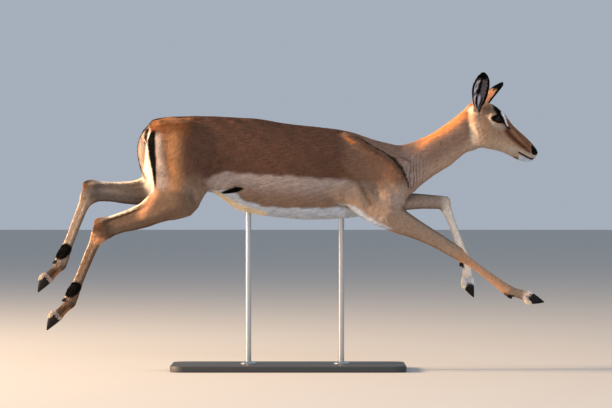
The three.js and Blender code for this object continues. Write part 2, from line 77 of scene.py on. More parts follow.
def smoothRows(rows, steps=200):
    # a smooth curve through each column of a table, read at even places along its first column
    rows = np.array(rows, float)
    place, last = rows[:, 0], len(rows) - 1
    before, after = np.maximum(np.arange(last + 1) - 1, 0), np.minimum(np.arange(last + 1) + 1, last)
    slope = (rows[after] - rows[before]) / (place[after] - place[before])[:, None]
    at = np.linspace(place[0], place[-1], steps)
    i = np.clip(np.searchsorted(place, at, side="right") - 1, 0, last - 1)
    span = (place[i + 1] - place[i])[:, None]
    t = (at[:, None] - place[i][:, None]) / span
    values = (rows[i] * (1 + 2 * t) * (1 - t) ** 2 + slope[i] * span * t * (1 - t) ** 2
              + rows[i + 1] * t * t * (3 - 2 * t) + slope[i + 1] * span * t * t * (t - 1))
    return at, values[:, 1:]


def toPolyline(x, z, points):
    # distance to a line of points seen from the side, and how far along it (0 to 1) the nearest place is
    points = np.array(points, float)
    best, place = np.full(len(x), 1e6), np.zeros(len(x))
    for i, (a, b) in enumerate(zip(points[:-1], points[1:])):
        run = b - a
        t = np.clip(((x - a[0]) * run[0] + (z - a[1]) * run[1]) / (run @ run), 0, 1)
        d = np.hypot(x - a[0] - t * run[0], z - a[1] - t * run[1])
        nearer = d < best
        best = np.where(nearer, d, best)
        place = np.where(nearer, (i + t) / (len(points) - 1), place)
    return best, place


def grain(points, size, seed):
    # smooth even noise from sums of sine waves in scattered directions, about -1 to 1
    waves = np.random.default_rng(seed)
    total = np.zeros(len(points))
    for _ in range(7):
        direction = unit(waves.normal(size=3)) * 2 * np.pi / (size * waves.uniform(0.7, 1.6))
        total += np.sin(points @ direction + waves.uniform(0, 6.28))
    return total / 2.6


# Skeleton: pitch of each bone from the top joint down (0 is forwards, -90 straight down), and how far inwards
# each bone's lower end comes.
legs = {
    "foreRight": {"side": -1, "start": (323, 84, 494), "pitch": (-26.2, -36.7, -15.5, -21),
                  "inward": (18, 10, 2, 0)},
    "foreLeft": {"side": 1, "start": (262, 84, 537), "pitch": (2.3, -70, -86, -72),
                 "inward": (18, 10, 2, 0)},
    "hindRight": {"side": -1, "start": (-340, 88, 543), "pitch": (-162.2, -113.7, -133, -126),
                  "inward": (20, 8, 0, 0)},
    "hindLeft": {"side": 1, "start": (-372, 88, 572), "pitch": (178, -112.3, -133, -125),
                 "inward": (18, 8, 0, 0)},
}
boneLengths = {"fore": (250, 207, 61, 60), "hind": (275, 258, 59, 60)}
trunkAxis = {"rear": -470, "height": 655}
shoulder = {"top": (200, 50, 758), "point": (368, 70, 640), "tricepsRear": (150, 80, 600)}
hips = {"hindRight": (-380, 54, 770), "hindLeft": (-396, 54, 778)}
neckAxis = {"from": (362, 0, 650), "to": (603, 0, 806)}
headAxis = {"from": (616, 0, 800), "to": (804, 0, 708)}
tailPath = [(-428, 0, 796), (-456, 0, 779), (-475, 0, 748), (-481, 0, 714), (-478, 0, 680), (-472, 0, 650),
            (-467, 0, 626)]
coatDepth = {"body": 2.2, "leg": 1.4, "head": 1.1, "tail": 4}


def jointsOf(name):
    # each joint lies one bone further, at the bone's pitch and its share inwards
    leg = legs[name]
    points = [np.array([leg["start"][0], leg["side"] * leg["start"][1], leg["start"][2]], float)]
    for length, pitch, inward in zip(boneLengths[name[:4]], leg["pitch"], leg["inward"]):
        flat, a = np.sqrt(length ** 2 - inward ** 2), np.radians(pitch)
        points.append(points[-1] + np.array([flat * np.cos(a), -leg["side"] * inward, flat * np.sin(a)]))
    return points


# Sections: [along the axis, ahead or above, behind or below, to each side].
sections = {
    "barrel": [
        [6, 60, 20, 22], [18, 141, 45, 48], [36, 159, 65, 66], [69, 167, 72, 84], [117, 170, 75, 94],
        [182, 171, 75, 98], [232, 170, 80, 98], [262, 169, 104, 99], [300, 167, 131, 101],
        [345, 164, 144, 104], [410, 156, 157, 108], [475, 145, 164, 111], [540, 138, 167, 111],
        [605, 131, 166, 108],
        [670, 120, 161, 101], [719, 104, 153, 93], [761, 89, 141, 84], [800, 70, 125, 72],
        [832, 48, 106, 58], [855, 25, 85, 40], [866, 8, 65, 20],
    ],
    "neck": [
        [-70, 116, 84, 60], [0, 95, 82, 66], [35, 72, 79, 60], [82, 55, 76, 54], [145, 44, 77, 49],
        [187, 44, 71, 45], [225, 46, 70, 43], [264, 49, 75, 42], [300, 56, 58, 38], [318, 52, 36, 28],
    ],
    "head": [
        [-46, 44, 24, 18], [-34, 64, 50, 30], [-13, 73, 78, 36], [12, 78, 89, 39], [26, 77, 80, 40.5],
        [38, 75, 67, 41], [66, 65, 58.5, 38], [100, 48, 49.5, 31], [126, 39, 48, 26.5], [155, 31, 48.5, 23],
        [176, 24, 48, 22], [198, 15, 41, 20], [210, 8, 32, 15], [216, 2, 18, 8],
    ],
    "scapula": [
        [-16, 4, 12, 8], [0, 12, 30, 15], [60, 21, 60, 26], [125, 23, 84, 32], [180, 20, 90, 35],
        [222, 8, 74, 32],
    ],
    "arm": [
        [-40, 16, 24, 20], [0, 30, 50, 34], [50, 36, 60, 38], [100, 38, 55, 40], [150, 44, 40, 40],
        [178, 30, 24, 26],
    ],
    "triceps": [
        [-24, 14, 18, 6], [10, 34, 35, 16], [50, 50, 36, 24], [75, 53, 40, 28], [108, 53, 44, 32],
        [135, 49, 45, 35], [162, 45, 43, 37], [190, 42, 38, 38],
    ],
    "forearm": [
        [-40, 34, 26, 28], [0, 48, 36, 40], [34, 47, 35, 37], [97, 38, 25, 27], [138, 33, 22, 22.5],
        [175, 29, 21, 20], [212, 24, 22.5, 20], [240, 20, 23, 20.5], [262, 12, 16, 15],
    ],
    "foreCannon": [
        [-14, 12, 14, 14], [0, 18, 22, 20], [22, 14, 22, 17], [50, 11, 16.5, 13], [105, 11, 15, 12],
        [150, 12.5, 16.5, 12.5], [185, 14.5, 19, 15.5], [207, 15, 20, 16.5], [216, 12, 16, 14],
    ],
    "forePastern": [
        [-8, 12, 16, 14], [0, 16, 20, 17], [25, 13, 17, 15.5], [45, 14, 18, 17], [62, 15, 23, 18.5],
        [70, 12, 19, 16],
    ],
    "thigh": [
        [-34, 40, 30, 12], [-20, 62, 50, 22], [0, 90, 72, 34], [55, 112, 92, 45], [110, 104, 88, 50],
        [152, 104, 87, 49], [185, 98, 88, 46], [218, 78, 80, 42], [245, 56, 58, 38], [272, 26, 30, 24],
    ],
    "gaskin": [
        [-34, 30, 36, 34], [0, 42, 62, 44], [40, 42, 68, 42], [91, 39, 61, 35], [130, 40, 42, 28],
        [174, 37, 35, 22], [208, 33, 33, 18.5], [242, 33, 33, 18], [266, 35, 31.5, 21], [290, 20, 26, 16],
    ],
    "hindCannon": [
        [-36, 12, 16, 10], [-18, 28, 34.5, 15], [5, 38, 30, 22], [26, 28, 28, 21], [52, 15, 23, 16],
        [98, 12.5, 21.5, 12.5], [168, 13, 19, 12], [206, 15, 20, 14], [229, 18, 24, 16], [258, 19, 21, 17.5],
        [268, 14, 16, 14],
    ],
    "hindPastern": [
        [-8, 14, 16, 14], [0, 20, 21, 18], [25, 16.5, 16, 15.5], [45, 16, 16, 17], [60, 17, 21, 18.5],
        [68, 14, 18, 16],
    ],
    "heel": [[-5, 5, 5, 5], [2, 11.5, 9.5, 9.5], [12, 12.5, 10.5, 10], [21, 9.5, 8.5, 8.5], [28, 3, 3, 3]],
    "brow": [[-8, 10, 10, 8], [6, 19, 20, 15], [24, 22, 22, 17], [42, 19, 20, 15], [58, 8, 9, 7]],
    "tail": [
        [0, 13, 13, 16], [0.15, 12, 12, 17], [0.4, 11, 11, 21], [0.65, 9.5, 9.5, 20], [0.85, 7.5, 7.5, 14],
        [1, 3, 3, 6],
    ],
    "claw": [
        [-9, 12, 15, 7], [0, 16.5, 20, 8.8], [14, 14.5, 23, 9], [30, 10.5, 18, 8.3], [46, 5.5, 10, 5.8],
        [59, 1.2, 2, 2],
    ],
}


# Forms of flesh.
forms = []


def directions(axis):
    # across is sideways, made square to the axis, and ahead is square to both
    across = unit(np.array([0, 1, 0]) - axis * axis[1])
    return across, np.cross(axis, across)


def addForm(region, start, end, rows, blend, lie, depth, plane=None, key=None):
    # a swept form from start towards end; lie is the way its coat runs, along the form where it is None
    start, end = np.array(start, float), np.array(end, float)
    axis = unit(end - start)
    across, ahead = directions(axis)
    at, reach = smoothRows(rows)
    reach = np.maximum(reach - depth, 1.2)
    forms.append({
        "region": region, "key": key or region, "start": start, "axis": axis, "across": across,
        "ahead": ahead, "at": at, "reach": reach, "blend": blend, "plane": plane,
        "lie": unit(np.array(lie, float)) if lie is not None else axis,
        "middle": start + axis * (at[0] + at[-1]) / 2,
        "size": (at[-1] - at[0]) / 2 + reach.max(),
    })


def localOf(form, points):
    # along the axis, sideways, and ahead of it
    offset = points - form["start"]
    return offset @ form["axis"], offset @ form["across"], offset @ form["ahead"]


def formDistance(form, points):
    # distance from the axis less the section's radius that way: half an ellipse ahead, half behind
    t, u, v = localOf(form, points)
    front, back, side = (np.interp(t, form["at"], form["reach"][:, c]) for c in range(3))
    share = np.sqrt((u / side) ** 2 + (v / np.where(v > 0, front, back)) ** 2) + 1e-6
    radial = (np.hypot(u, v) + 1e-3) * (1 - 1 / share)
    ends = np.maximum(form["at"][0] - t, t - form["at"][-1])
    found = cutSmooth(radial, ends, 6)
    if form["plane"] is not None:
        point, axis = form["plane"]
        found = cutSmooth(found, (points - point) @ axis, 3)
    return found


def mirrored(point, side):
    # the same point on the right (-1) or the left (1)
    return (point[0], side * point[1], point[2])


coronetCut = {"tilt": 16, "below": 2}


def coronetPlane(top, toe):
    # the top of the hooves: square to the toe, then tilted back about the sideways line
    down = unit(toe - top)
    across, _ = directions(down)
    a = np.radians(coronetCut["tilt"])
    return top + down * coronetCut["below"], down * np.cos(a) + np.cross(across, down) * np.sin(a)


joints = {name: jointsOf(name) for name in legs}
rear = (trunkAxis["rear"], 0, trunkAxis["height"])
ahead = (rear[0] + 900, 0, rear[2])
addForm("trunk", rear, ahead, sections["barrel"], 1, (-1, 0, -0.12), coatDepth["body"])
addForm("neck", neckAxis["from"], neckAxis["to"], sections["neck"], 34, (-0.8, 0, -0.62), coatDepth["body"])
for name, leg in legs.items():
    side, bones, kind = leg["side"], joints[name], name[:4]
    if kind == "fore":
        top, point, rearEnd = (mirrored(shoulder[key], side) for key in ("top", "point", "tricepsRear"))
        for start, end, part, blend, lie in ((top, point, "scapula", 22, (-0.86, 0, -0.5)),
                                             (point, bones[0], "arm", 22, (-0.55, 0, -0.83)),
                                             (rearEnd, bones[0], "triceps", 18, (-0.6, 0, -0.8))):
            addForm("shoulder", start, end, sections[part], blend, lie, coatDepth["body"])
        addForm("foreLong", bones[0], bones[1], sections["forearm"], 16, None, coatDepth["leg"], key=name)
    else:
        knee = bones[0] + np.array([-6, -12 * side, 4])
        addForm("thigh", mirrored(hips[name], side), knee, sections["thigh"], 38, (-0.45, 0, -0.89),
                coatDepth["body"], key=name)
        addForm("hindLong", bones[0], bones[1], sections["gaskin"], 22, None, coatDepth["leg"], key=name)
    plane = coronetPlane(bones[3], bones[4])
    cannon, pastern = sections[kind + "Cannon"], sections[kind + "Pastern"]
    addForm(kind + "Low", bones[1], bones[2], cannon, 8, None, coatDepth["leg"], key=name)
    addForm(kind + "End", bones[2], bones[3], pastern, 7, None, coatDepth["leg"], plane, name)
    down = unit(bones[4] - bones[3])
    across, ahead = directions(down)
    for away in (-1, 1):
        heel = bones[3] - ahead * 14.5 + across * 8.5 * away
        addForm(kind + "End", heel, heel + down - ahead * 0.1, sections["heel"], 5, None, 0.5, None, name)
addForm("head", headAxis["from"], headAxis["to"], sections["head"], 16, (-0.9, 0, 0.44), coatDepth["head"])

eyes = {}
for name, side in (("eye_right", -1), ("eye_left", 1)):
    low, high = (np.array(corner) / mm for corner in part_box(name))
    eyes[name] = {"at": (low + high) / 2, "radius": (high[2] - low[2]) / 2, "side": side}
    x, y, z = eyes[name]["at"]
    addForm("head", (x - 26, y - side, z + 10), (x + 24, y - 5 * side, z - 2), sections["brow"], 9,
            (-0.9, 0, 0.44), coatDepth["head"])

print("forms:", len(forms))

# Ears: [place along the ear, half width, half the angle that the section turns through].
earSections = [[0, 9, 118], [0.1, 12, 108], [0.2, 16.5, 96], [0.33, 22, 82], [0.48, 26, 68], [0.62, 27.5, 57],
               [0.76, 25, 49], [0.88, 19, 42], [0.96, 12, 34], [1, 5, 24]]
ears = {
    "ear_right": {"root": (609, -26, 848), "tip": (627, -98, 961), "facing": (0.35, -0.92, 0.1)},
    "ear_left": {"root": (615, 26, 853), "tip": (697, 88, 936), "facing": (0.64, 0.22, -0.73)},
}
earWall, earBow = 5.4, 12
earAt, earReach = smoothRows(earSections)
for ear in ears.values():
    root, tip = np.array(ear["root"], float), np.array(ear["tip"], float)
    up, facing = unit(tip - root), np.array(ear["facing"], float)
    ear.update(root=root, up=up, length=np.linalg.norm(tip - root), open=unit(facing - up * (facing @ up)))
    ear["across"] = np.cross(ear["open"], up)


def earPlace(ear, points):
    # place along the ear, the angle round its cup (0 at the back), and the distance to its middle sheet
    offset = points - ear["root"]
    v = offset @ ear["up"] / ear["length"]
    held = np.clip(v, 0, 1)
    half, turn = (np.interp(held, earAt, earReach[:, c]) for c in range(2))
    turn = np.radians(turn)
    radius = half / np.sin(np.minimum(turn, np.pi / 2))
    s, depth = offset @ ear["across"], offset @ ear["open"] - (radius - earBow * np.sin(np.pi * held))
    angle = np.arctan2(s, -depth)
    kept = np.clip(angle, -turn, turn)
    apart = np.sqrt((s - radius * np.sin(kept)) ** 2 + (depth + radius * np.cos(kept)) ** 2
                    + ((v - held) * ear["length"]) ** 2)
    inside = radius - np.hypot(s, depth)
    return {"v": v, "angle": angle, "turn": turn, "apart": apart, "inside": inside}


# The tail hangs from the dock and lies against the buttocks, along a smooth path with sections square to it.
_, tailLine = smoothRows([[i, *p] for i, p in enumerate(tailPath)], 60)
tailPlace = np.concatenate([[0], np.cumsum(np.linalg.norm(np.diff(tailLine, axis=0), axis=1))])
tailPlace = tailPlace / tailPlace[-1]
tailMiddle = tailLine[len(tailLine) // 2]
tailRun = unit(np.gradient(tailLine, axis=0))
tailAt, tailReach = smoothRows(sections["tail"])


def tailWhere(points):
    # place along the tail (0 to 1), sideways, and behind or ahead of its line
    apart = np.linalg.norm(points[:, None] - tailLine[None], axis=2)
    i = apart.argmin(1)
    offset = points - tailLine[i]
    run = tailRun[i]
    t = (offset * run).sum(1)
    ahead = np.cross(run, np.array([0, 1, 0]))
    return tailPlace[i], t, offset[:, 1], (offset * ahead).sum(1)


def tailDistance(points):
    # distance from the tail's line less its section's radius, fuller ahead in the middle
    place, t, u, v = tailWhere(points)
    front, back, side = (np.maximum(np.interp(place, tailAt, tailReach[:, c]) - coatDepth["tail"] * 0.6, 1.5)
                         for c in range(3))
    front = front + 11 * bump(place - 0.45, 0.42)
    share = np.sqrt((u / side) ** 2 + (v / np.where(v > 0, front, back)) ** 2) + 1e-6
    radial = (np.hypot(u, v) + 1e-3) * (1 - 1 / share)
    end = np.where(place >= 1, t, np.where(place <= 0, -t, -9))
    return cutSmooth(radial, end, 5)


# The eye's opening, seen from the side: an almond along the head, its front corner drawn out and down
# to the tear duct.
eyeShape = {"pitch": -22, "long": 15.0, "upper": 11.8, "lower": 9.8, "lid": 2.0, "shift": -0.3, "corner": 4.5}


def eyePlace(eye, points):
    # along and above the eye's long axis, outwards, and how far outside the almond's edge
    a = np.radians(eyeShape["pitch"])
    offset = points - eye["at"]
    along = offset[:, 0] * np.cos(a) + offset[:, 2] * np.sin(a) - eyeShape["shift"]
    above = -offset[:, 0] * np.sin(a) + offset[:, 2] * np.cos(a) + 0.5
    reach = np.where(along > 0, eyeShape["long"] + eyeShape["corner"], eyeShape["long"])
    sharp = np.where(along > 0, 1.25, 0.8)
    share = np.clip(1 - (along / reach) ** 2, 0, 1) ** sharp
    height = np.where(above > 0, eyeShape["upper"], eyeShape["lower"]) * share
    outside = np.maximum(np.abs(above) - height, np.abs(along) - reach)
    return along, above, offset[:, 1] * eye["side"], outside


nostril = {"at": (799, 13, 714), "reach": (7.5, 5.5, 3.4), "pitch": 28}


def nostrilDistance(points, side):
    # a flattened hollow, tilted up towards the back
    offset = points - np.array([nostril["at"][0], side * nostril["at"][1], nostril["at"][2]])
    a = np.radians(nostril["pitch"])
    x, y = offset[:, 0] * np.cos(a) + offset[:, 2] * np.sin(a), offset[:, 1]
    z = -offset[:, 0] * np.sin(a) + offset[:, 2] * np.cos(a)
    long, wide, high = nostril["reach"]
    return (np.sqrt((x / long) ** 2 + (y / wide) ** 2 + (z / high) ** 2) - 1) * high


def addDetails(points, found):
    # ears and tail joined on, lids drawn over the eyes and opened, and the nostrils hollowed
    near = np.linalg.norm(points - tailMiddle, axis=1) < nearDetail["tail"]
    if near.any():
        found[near] = joinSmooth(found[near], tailDistance(points[near]), 20)
    for ear in ears.values():
        near = np.linalg.norm(points - ear["root"], axis=1) < nearDetail["ear"]
        place = earPlace(ear, points[near])
        wall = earWall * (1.1 - 0.25 * np.clip(place["v"], 0, 1))
        found[near] = joinSmooth(found[near], place["apart"] - wall / 2, 7)
    for eye in eyes.values():
        near = np.linalg.norm(points - eye["at"], axis=1) < nearDetail["eye"]
        p, kept = points[near], found[near]
        kept = joinSmooth(kept, np.linalg.norm(p - eye["at"], axis=1) - eye["radius"] - eyeShape["lid"], 7)
        _, _, out, outside = eyePlace(eye, p)
        opening = np.maximum(outside, 3 - out)
        found[near] = cutSmooth(kept, -opening, 1.6)
    for side in (-1, 1):
        near = np.linalg.norm(points - mirrored(nostril["at"], side), axis=1) < nearDetail["nostril"]
        found[near] = cutSmooth(found[near], -nostrilDistance(points[near], side), 3)
    return found


def nearForm(form, points):
    # true in a ball about the form that takes in its blend
    return np.linalg.norm(points - form["middle"], axis=1) < form["size"] + farOff / 2


def bodyDistance(points):
    # distance to the whole skin: every form joined to the ones before it, then the details
    found = np.full(len(points), farOff)
    for form in forms:
        near = nearForm(form, points)
        found[near] = joinSmooth(found[near], formDistance(form, points[near]), form["blend"])
    return addDetails(points, found)


# The skin's surface is found on a grid whose cells are smallest about the head and grow away from it.
grid = {"centre": (696, 0, 804), "near": 100, "share": 0.25, "ease": 130, "step": 7.2,
        "block": 8}


def spread(distance):
    # grid distance from the centre to real distance: a small share of it near the head, one for one far away
    r0 = grid["near"] / grid["share"]
    beyond = np.maximum(distance - r0, 0)
    slow = (1 - grid["share"]) * grid["ease"] * (1 - np.exp(-beyond / grid["ease"]))
    return grid["share"] * np.minimum(distance, r0) + beyond - slow


def toReal(places):
    # from the even grid to millimetres, along the same line from the centre
    distance = np.maximum(np.linalg.norm(places, axis=1), 1e-6)
    return np.array(grid["centre"]) + places * (spread(distance) / distance)[:, None]


def toGrid(points):
    # the same mapping read backwards, from a table of distances
    table = np.linspace(0, 2600, 4000)
    offset = points - np.array(grid["centre"])
    distance = np.maximum(np.linalg.norm(offset, axis=1), 1e-6)
    return offset * (np.interp(distance, spread(table), table) / distance)[:, None]


def fieldOnGrid():
    # the body's distance at every point of a grid round the flesh nodes: blocks of the grid that a form
    # can't reach are left far off, and the details are added where there are any
    corners = []
    for name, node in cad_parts.items():
        if name.startswith("stand_"):
            continue
        found = np.zeros(len(node.data.vertices) * 3)
        node.data.vertices.foreach_get("co", found)
        corners.append(toGrid(found.reshape(-1, 3) / mm))
    corners = np.concatenate(corners)
    step, block = grid["step"], grid["block"]
    low = corners.min(0) - 4 * step
    count = (np.ceil((corners.max(0) + 4 * step - low) / step / block).astype(int)) * block
    axes = [low[c] + step * np.arange(count[c]) for c in range(3)]
    places = np.stack(np.meshgrid(*axes, indexing="ij"), -1).reshape(-1, 3)
    real = toReal(places).astype(np.float32)
    shape = (count[0] // block, block, count[1] // block, block, count[2] // block, block)
    blocks = np.arange(len(real)).reshape(shape).transpose(0, 2, 4, 1, 3, 5).reshape(-1, block ** 3)
    middle = (real[blocks[:, 0]] + real[blocks[:, -1]]) / 2
    size = np.linalg.norm(real[blocks[:, 0]] - real[blocks[:, -1]], axis=1) / 2
    field = np.full(len(real), farOff)
    for form in forms:
        near = formDistance(form, middle) < 1.5 * size + farOff / 2
        nodes = blocks[near].ravel()
        field[nodes] = joinSmooth(field[nodes], formDistance(form, real[nodes]), form["blend"])
    byHead = np.linalg.norm(middle - np.array(grid["centre"]), axis=1) < 330
    fine = byHead | (middle[:, 0] < -380)
    nodes = blocks[fine].ravel()
    field[nodes] = addDetails(real[nodes], field[nodes])
    return field.reshape(count), low


def surfaceNet(field, low):
    # a point in each cell that the surface crosses, at the mean of its edges' crossings, and a
    # four-sided face across each grid edge that the surface crosses
    inside = field < 0
    corners = [(i, j, k) for i in (0, 1) for j in (0, 1) for k in (0, 1)]
    n = np.array(field.shape)
    part = {c: tuple(slice(c[a], n[a] - 1 + c[a]) for a in range(3)) for c in corners}
    filled = sum(inside[part[c]].astype(np.int8) for c in corners)
    cells = np.argwhere((filled > 0) & (filled < 8))
    number = np.full(n - 1, -1)
    number[tuple(cells.T)] = np.arange(len(cells))
    value = {c: field[tuple((cells + c).T)] for c in corners}
    total, count = np.zeros((len(cells), 3)), np.zeros(len(cells))
    for a in corners:
        for axis in range(3):
            if a[axis]:
                continue
            b = tuple(1 if i == axis else a[i] for i in range(3))
            crossed = (value[a] < 0) != (value[b] < 0)
            t = np.where(crossed, value[a] / np.where(crossed, value[a] - value[b], 1), 0)
            place = np.tile(np.array(a, float), (len(cells), 1))
            place[:, axis] = t
            total += place * crossed[:, None]
            count += crossed
    points = low + grid["step"] * (cells + total / count[:, None])
    faces = []
    for axis in range(3):
        p, q = [a for a in range(3) if a != axis]
        take = [slice(1, -1)] * 3
        take[axis] = slice(0, -1)
        step = [slice(1, -1)] * 3
        step[axis] = slice(1, None)
        first, second = inside[tuple(take)], inside[tuple(step)]
        edges = np.argwhere(first != second)
        start = edges + np.array([0 if a == axis else 1 for a in range(3)])
        shifts = [(0, 0), (-1, 0), (-1, -1), (0, -1)]
        ring = []
        for dp, dq in shifts:
            cell = start.copy()
            cell[:, p] += dp
            cell[:, q] += dq
            ring.append(number[tuple(cell.T)])
        ring = np.stack(ring, 1)
        outward = first[tuple(edges.T)] != (axis == 1)
        faces.append(np.where(outward[:, None], ring, ring[:, ::-1]))
    return toReal(points), np.concatenate(faces)


settle = {"step": 0.6, "times": 2, "furthest": 1.5}


def slopeOf(points):
    # the way the distance grows, by differences a step to each side
    found = []
    for axis in range(3):
        shift = np.zeros(3)
        shift[axis] = settle["step"]
        rise = bodyDistance(points + shift) - bodyDistance(points - shift)
        found.append(rise / (2 * settle["step"]))
    return np.stack(found, 1)


def onSurface(points):
    # each point moves down the slope to where the distance is nought, by a few millimetres at most
    for _ in range(settle["times"]):
        slope = slopeOf(points)
        size = np.maximum((slope ** 2).sum(1), 0.2)
        move = -(bodyDistance(points) / size)[:, None] * slope
        far = np.linalg.norm(move, axis=1, keepdims=True)
        points = points + move * np.minimum(1, settle["furthest"] / np.maximum(far, 1e-6))
    return points


field, low = fieldOnGrid()
print("grid:", field.shape)
skinPoints, skinFaces = surfaceNet(field, low)
print("net:", len(skinPoints), "points", len(skinFaces), "faces")
skinPoints = onSurface(skinPoints)


def vertexNormals(points, faces):
    # the mean of the faces' normals about each point
    corner = points[faces]
    square = np.cross(corner[:, 2] - corner[:, 0], corner[:, 3] - corner[:, 1])
    total = np.zeros_like(points)
    for c in range(4):
        for axis in range(3):
            total[:, axis] += np.bincount(faces[:, c], square[:, axis], len(points))
    return unit(total)


normals = vertexNormals(skinPoints, skinFaces)


# Who owns each place of the skin.
def ownersOf(points):
    # how much each form of flesh owns each point: the nearest surfaces share it, and shares add up to one
    rows = np.full((len(forms) + len(ears) + 1, len(points)), 99.0)
    for row, form in zip(rows, forms):
        near = nearForm(form, points)
        row[near] = formDistance(form, points[near])
    for row, ear in zip(rows[len(forms):], ears.values()):
        near = np.linalg.norm(points - ear["root"], axis=1) < nearDetail["ear"]
        row[near] = earPlace(ear, points[near])["apart"] - earWall
    near = np.linalg.norm(points - tailMiddle, axis=1) < nearDetail["tail"]
    rows[-1, near] = tailDistance(points[near])
    shares = np.exp(-(rows - rows.min(0)) / 4)
    return shares / shares.sum(0)


def regionsOf(shares):
    # the same shares added up by region
    found = {}
    names = [form["region"] for form in forms] + ["ear"] * len(ears) + ["tail"]
    for name, row in zip(names, shares):
        found[name] = found.get(name, 0) + row
    return found


def glandShare(form, points):
    # 1 on the oval of long black hair behind a hind cannon's lower end
    t, u, v = localOf(form, points)
    a, b = t - 217, v + 9 - 0.1 * np.abs(u)
    along, apart = a * 0.92 - b * 0.39, a * 0.39 + b * 0.92
    return ease(1.08, 0.95, np.sqrt((along / 31) ** 2 + (apart / 20) ** 2))


def folds(points):
    # -1 to 1 across the fine upright folds of skin at the foot of the neck
    return np.sin(points[:, 0] / 1.7 + 1.1 * grain(points * np.array([1, 1, 0.5]), 45, 5))


# Relief: lines of muscle, tendon and fold on both sides, seen from the side: [points, depth, width], where a
# negative depth is a groove.
reliefLines = [
    [[(202, 765), (238, 749), (270, 727), (312, 704), (344, 681), (367, 652), (383, 617), (389, 585)], -9, 6],
    [[(190, 752), (228, 733), (262, 710), (300, 688), (330, 662), (352, 632), (366, 602)], 0.8, 14],
    [[(234, 622), (244, 568), (262, 517)], -3, 10],
    [[(262, 640), (300, 600), (318, 552)], 3, 24],
    [[(300, 640), (330, 590), (352, 548)], -2.5, 9],
    [[(-228, 712), (-240, 670), (-252, 630), (-268, 588)], -5, 13],
    [[(-290, 700), (-300, 640), (-312, 590)], 3, 26],
    [[(-262, 583), (-222, 600), (-182, 604), (-140, 597), (-104, 588)], 3.5, 8],
    [[(-205, 583), (-172, 587), (-143, 586)], -9, 7],
    [[(-228, 566), (-185, 558), (-150, 548)], -4, 12],
    [[(-395, 745), (-392, 690), (-380, 630)], -2.5, 16],
    [[(-160, 700), (-60, 690), (60, 690), (150, 700)], -1.5, 50],
    [[(376, 534), (355, 544), (334, 553)], -1.8, 3], [[(376, 530), (350, 533), (325, 534)], -1.8, 3],
    [[(374, 526), (352, 521), (332, 515)], -1.8, 3], [[(372, 522), (360, 512), (348, 501)], -1.8, 3],
]
# On the bones: [region, along from, along to, place ahead as a share of the section, depth, width]
reliefBones = [
    ["hindLong", 95, 262, -0.52, -4.2, 6], ["hindLong", 60, 230, 0.3, 1.6, 9],
    ["hindLow", 14, 205, -0.28, -2.0, 4.2], ["hindLow", 20, 190, 0.35, 0.7, 5],
    ["foreLow", 14, 170, -0.32, -1.6, 3.8], ["foreLong", 40, 215, -0.25, -2.6, 6],
    ["foreLong", 20, 190, 0.35, 1.4, 9],
]
jawLines = [
    [[(584, 858), (580, 836), (583, 806), (588, 776), (594, 752)], -3.5, 10],
    [[(612, 850), (608, 820), (610, 790), (616, 762), (628, 742)], 3.0, 12],
]
headLines = [
    [[(748, 708), (764, 699), (784, 687), (800, 684), (812, 683)], -2.6, 1.9],
    [[(705, 785), (735, 752), (765, 722)], -1.6, 9],
    [[(604, 800), (618, 762), (650, 738), (690, 722)], 1.8, 12],
    [[(640, 786), (662, 772), (690, 764)], 1.5, 12],
    [[(690, 806), (703, 797), (714, 788)], -2.2, 3],
    [[(786, 729), (790, 716), (797, 705)], -0.9, 2],
]


def reliefAt(points, normals, shares, regions):
    # how far each point of the skin moves outwards
    x, _, z = points.T
    sideways = np.abs(normals[:, 1])
    total = np.zeros(len(points))
    trunk = sum(regions[r] for r in ("trunk", "neck", "shoulder", "thigh"))
    for line, depth, width in reliefLines:
        apart, place = toPolyline(x, z, line)
        ends = ease(0, 0.12, place) * ease(0, 0.12, 1 - place)
        total += depth * bump(apart, width) * trunk * ease(0.2, 0.7, sideways) * (0.3 + 0.7 * ends)
    for line, depth, width in jawLines:
        apart, place = toPolyline(x, z, line)
        held = (regions["head"] + regions["neck"]) * ease(0.2, 0.7, sideways)
        total += depth * bump(apart, width) * held * ease(0, 0.2, place) * ease(0, 0.2, 1 - place)
    for line, depth, width in headLines:
        apart, _ = toPolyline(x, z, line)
        total += depth * bump(apart, width) * regions["head"]
    for form, share in zip(forms, shares):
        wanted = [r for r in reliefBones if r[0] == form["region"]]
        near = np.flatnonzero(share > 0.05) if wanted else []
        if not len(near):
            continue
        t, u, v = localOf(form, points[near])
        front, back, side = (np.interp(t, form["at"], form["reach"][:, c]) for c in range(3))
        for _, low, high, ahead, depth, width in wanted:
            middle = np.where(ahead > 0, front, back) * ahead
            held = ease(low - 12, low + 12, t) * ease(-high - 12, -high + 12, -t)
            sideOn = np.minimum(np.abs(u) / side, 1) ** 2
            total[near] += depth * bump(v - middle, width) * held * sideOn * share[near]
    for eye in eyes.values():
        near = np.flatnonzero(np.linalg.norm(points - eye["at"], axis=1) < nearDetail["lids"])
        _, above, out, outside = eyePlace(eye, points[near])
        lids = 0.9 * bump(outside - 1.2, 1.6)
        fold = np.where(above > 0, -1.3, -0.8) * bump(outside - 5.5, 1.8)
        total[near] += (lids + fold) * ease(-4, 4, out)
    total += 0.7 * folds(points) * bump(x - 408, 30) * bump(z - 622, 50) * regions["neck"] * sideways
    for form, share in zip(forms, shares):
        if form["region"] == "hindLow":
            total += 2.5 * glandShare(form, points) * share
    total += 0.5 * grain(points, 45, 8) * trunk
    return total


shares = ownersOf(skinPoints)
regions = regionsOf(shares)
skinPoints = skinPoints + normals * reliefAt(skinPoints, normals, shares, regions)[:, None]
normals = vertexNormals(skinPoints, skinFaces)
print("skin shaped")

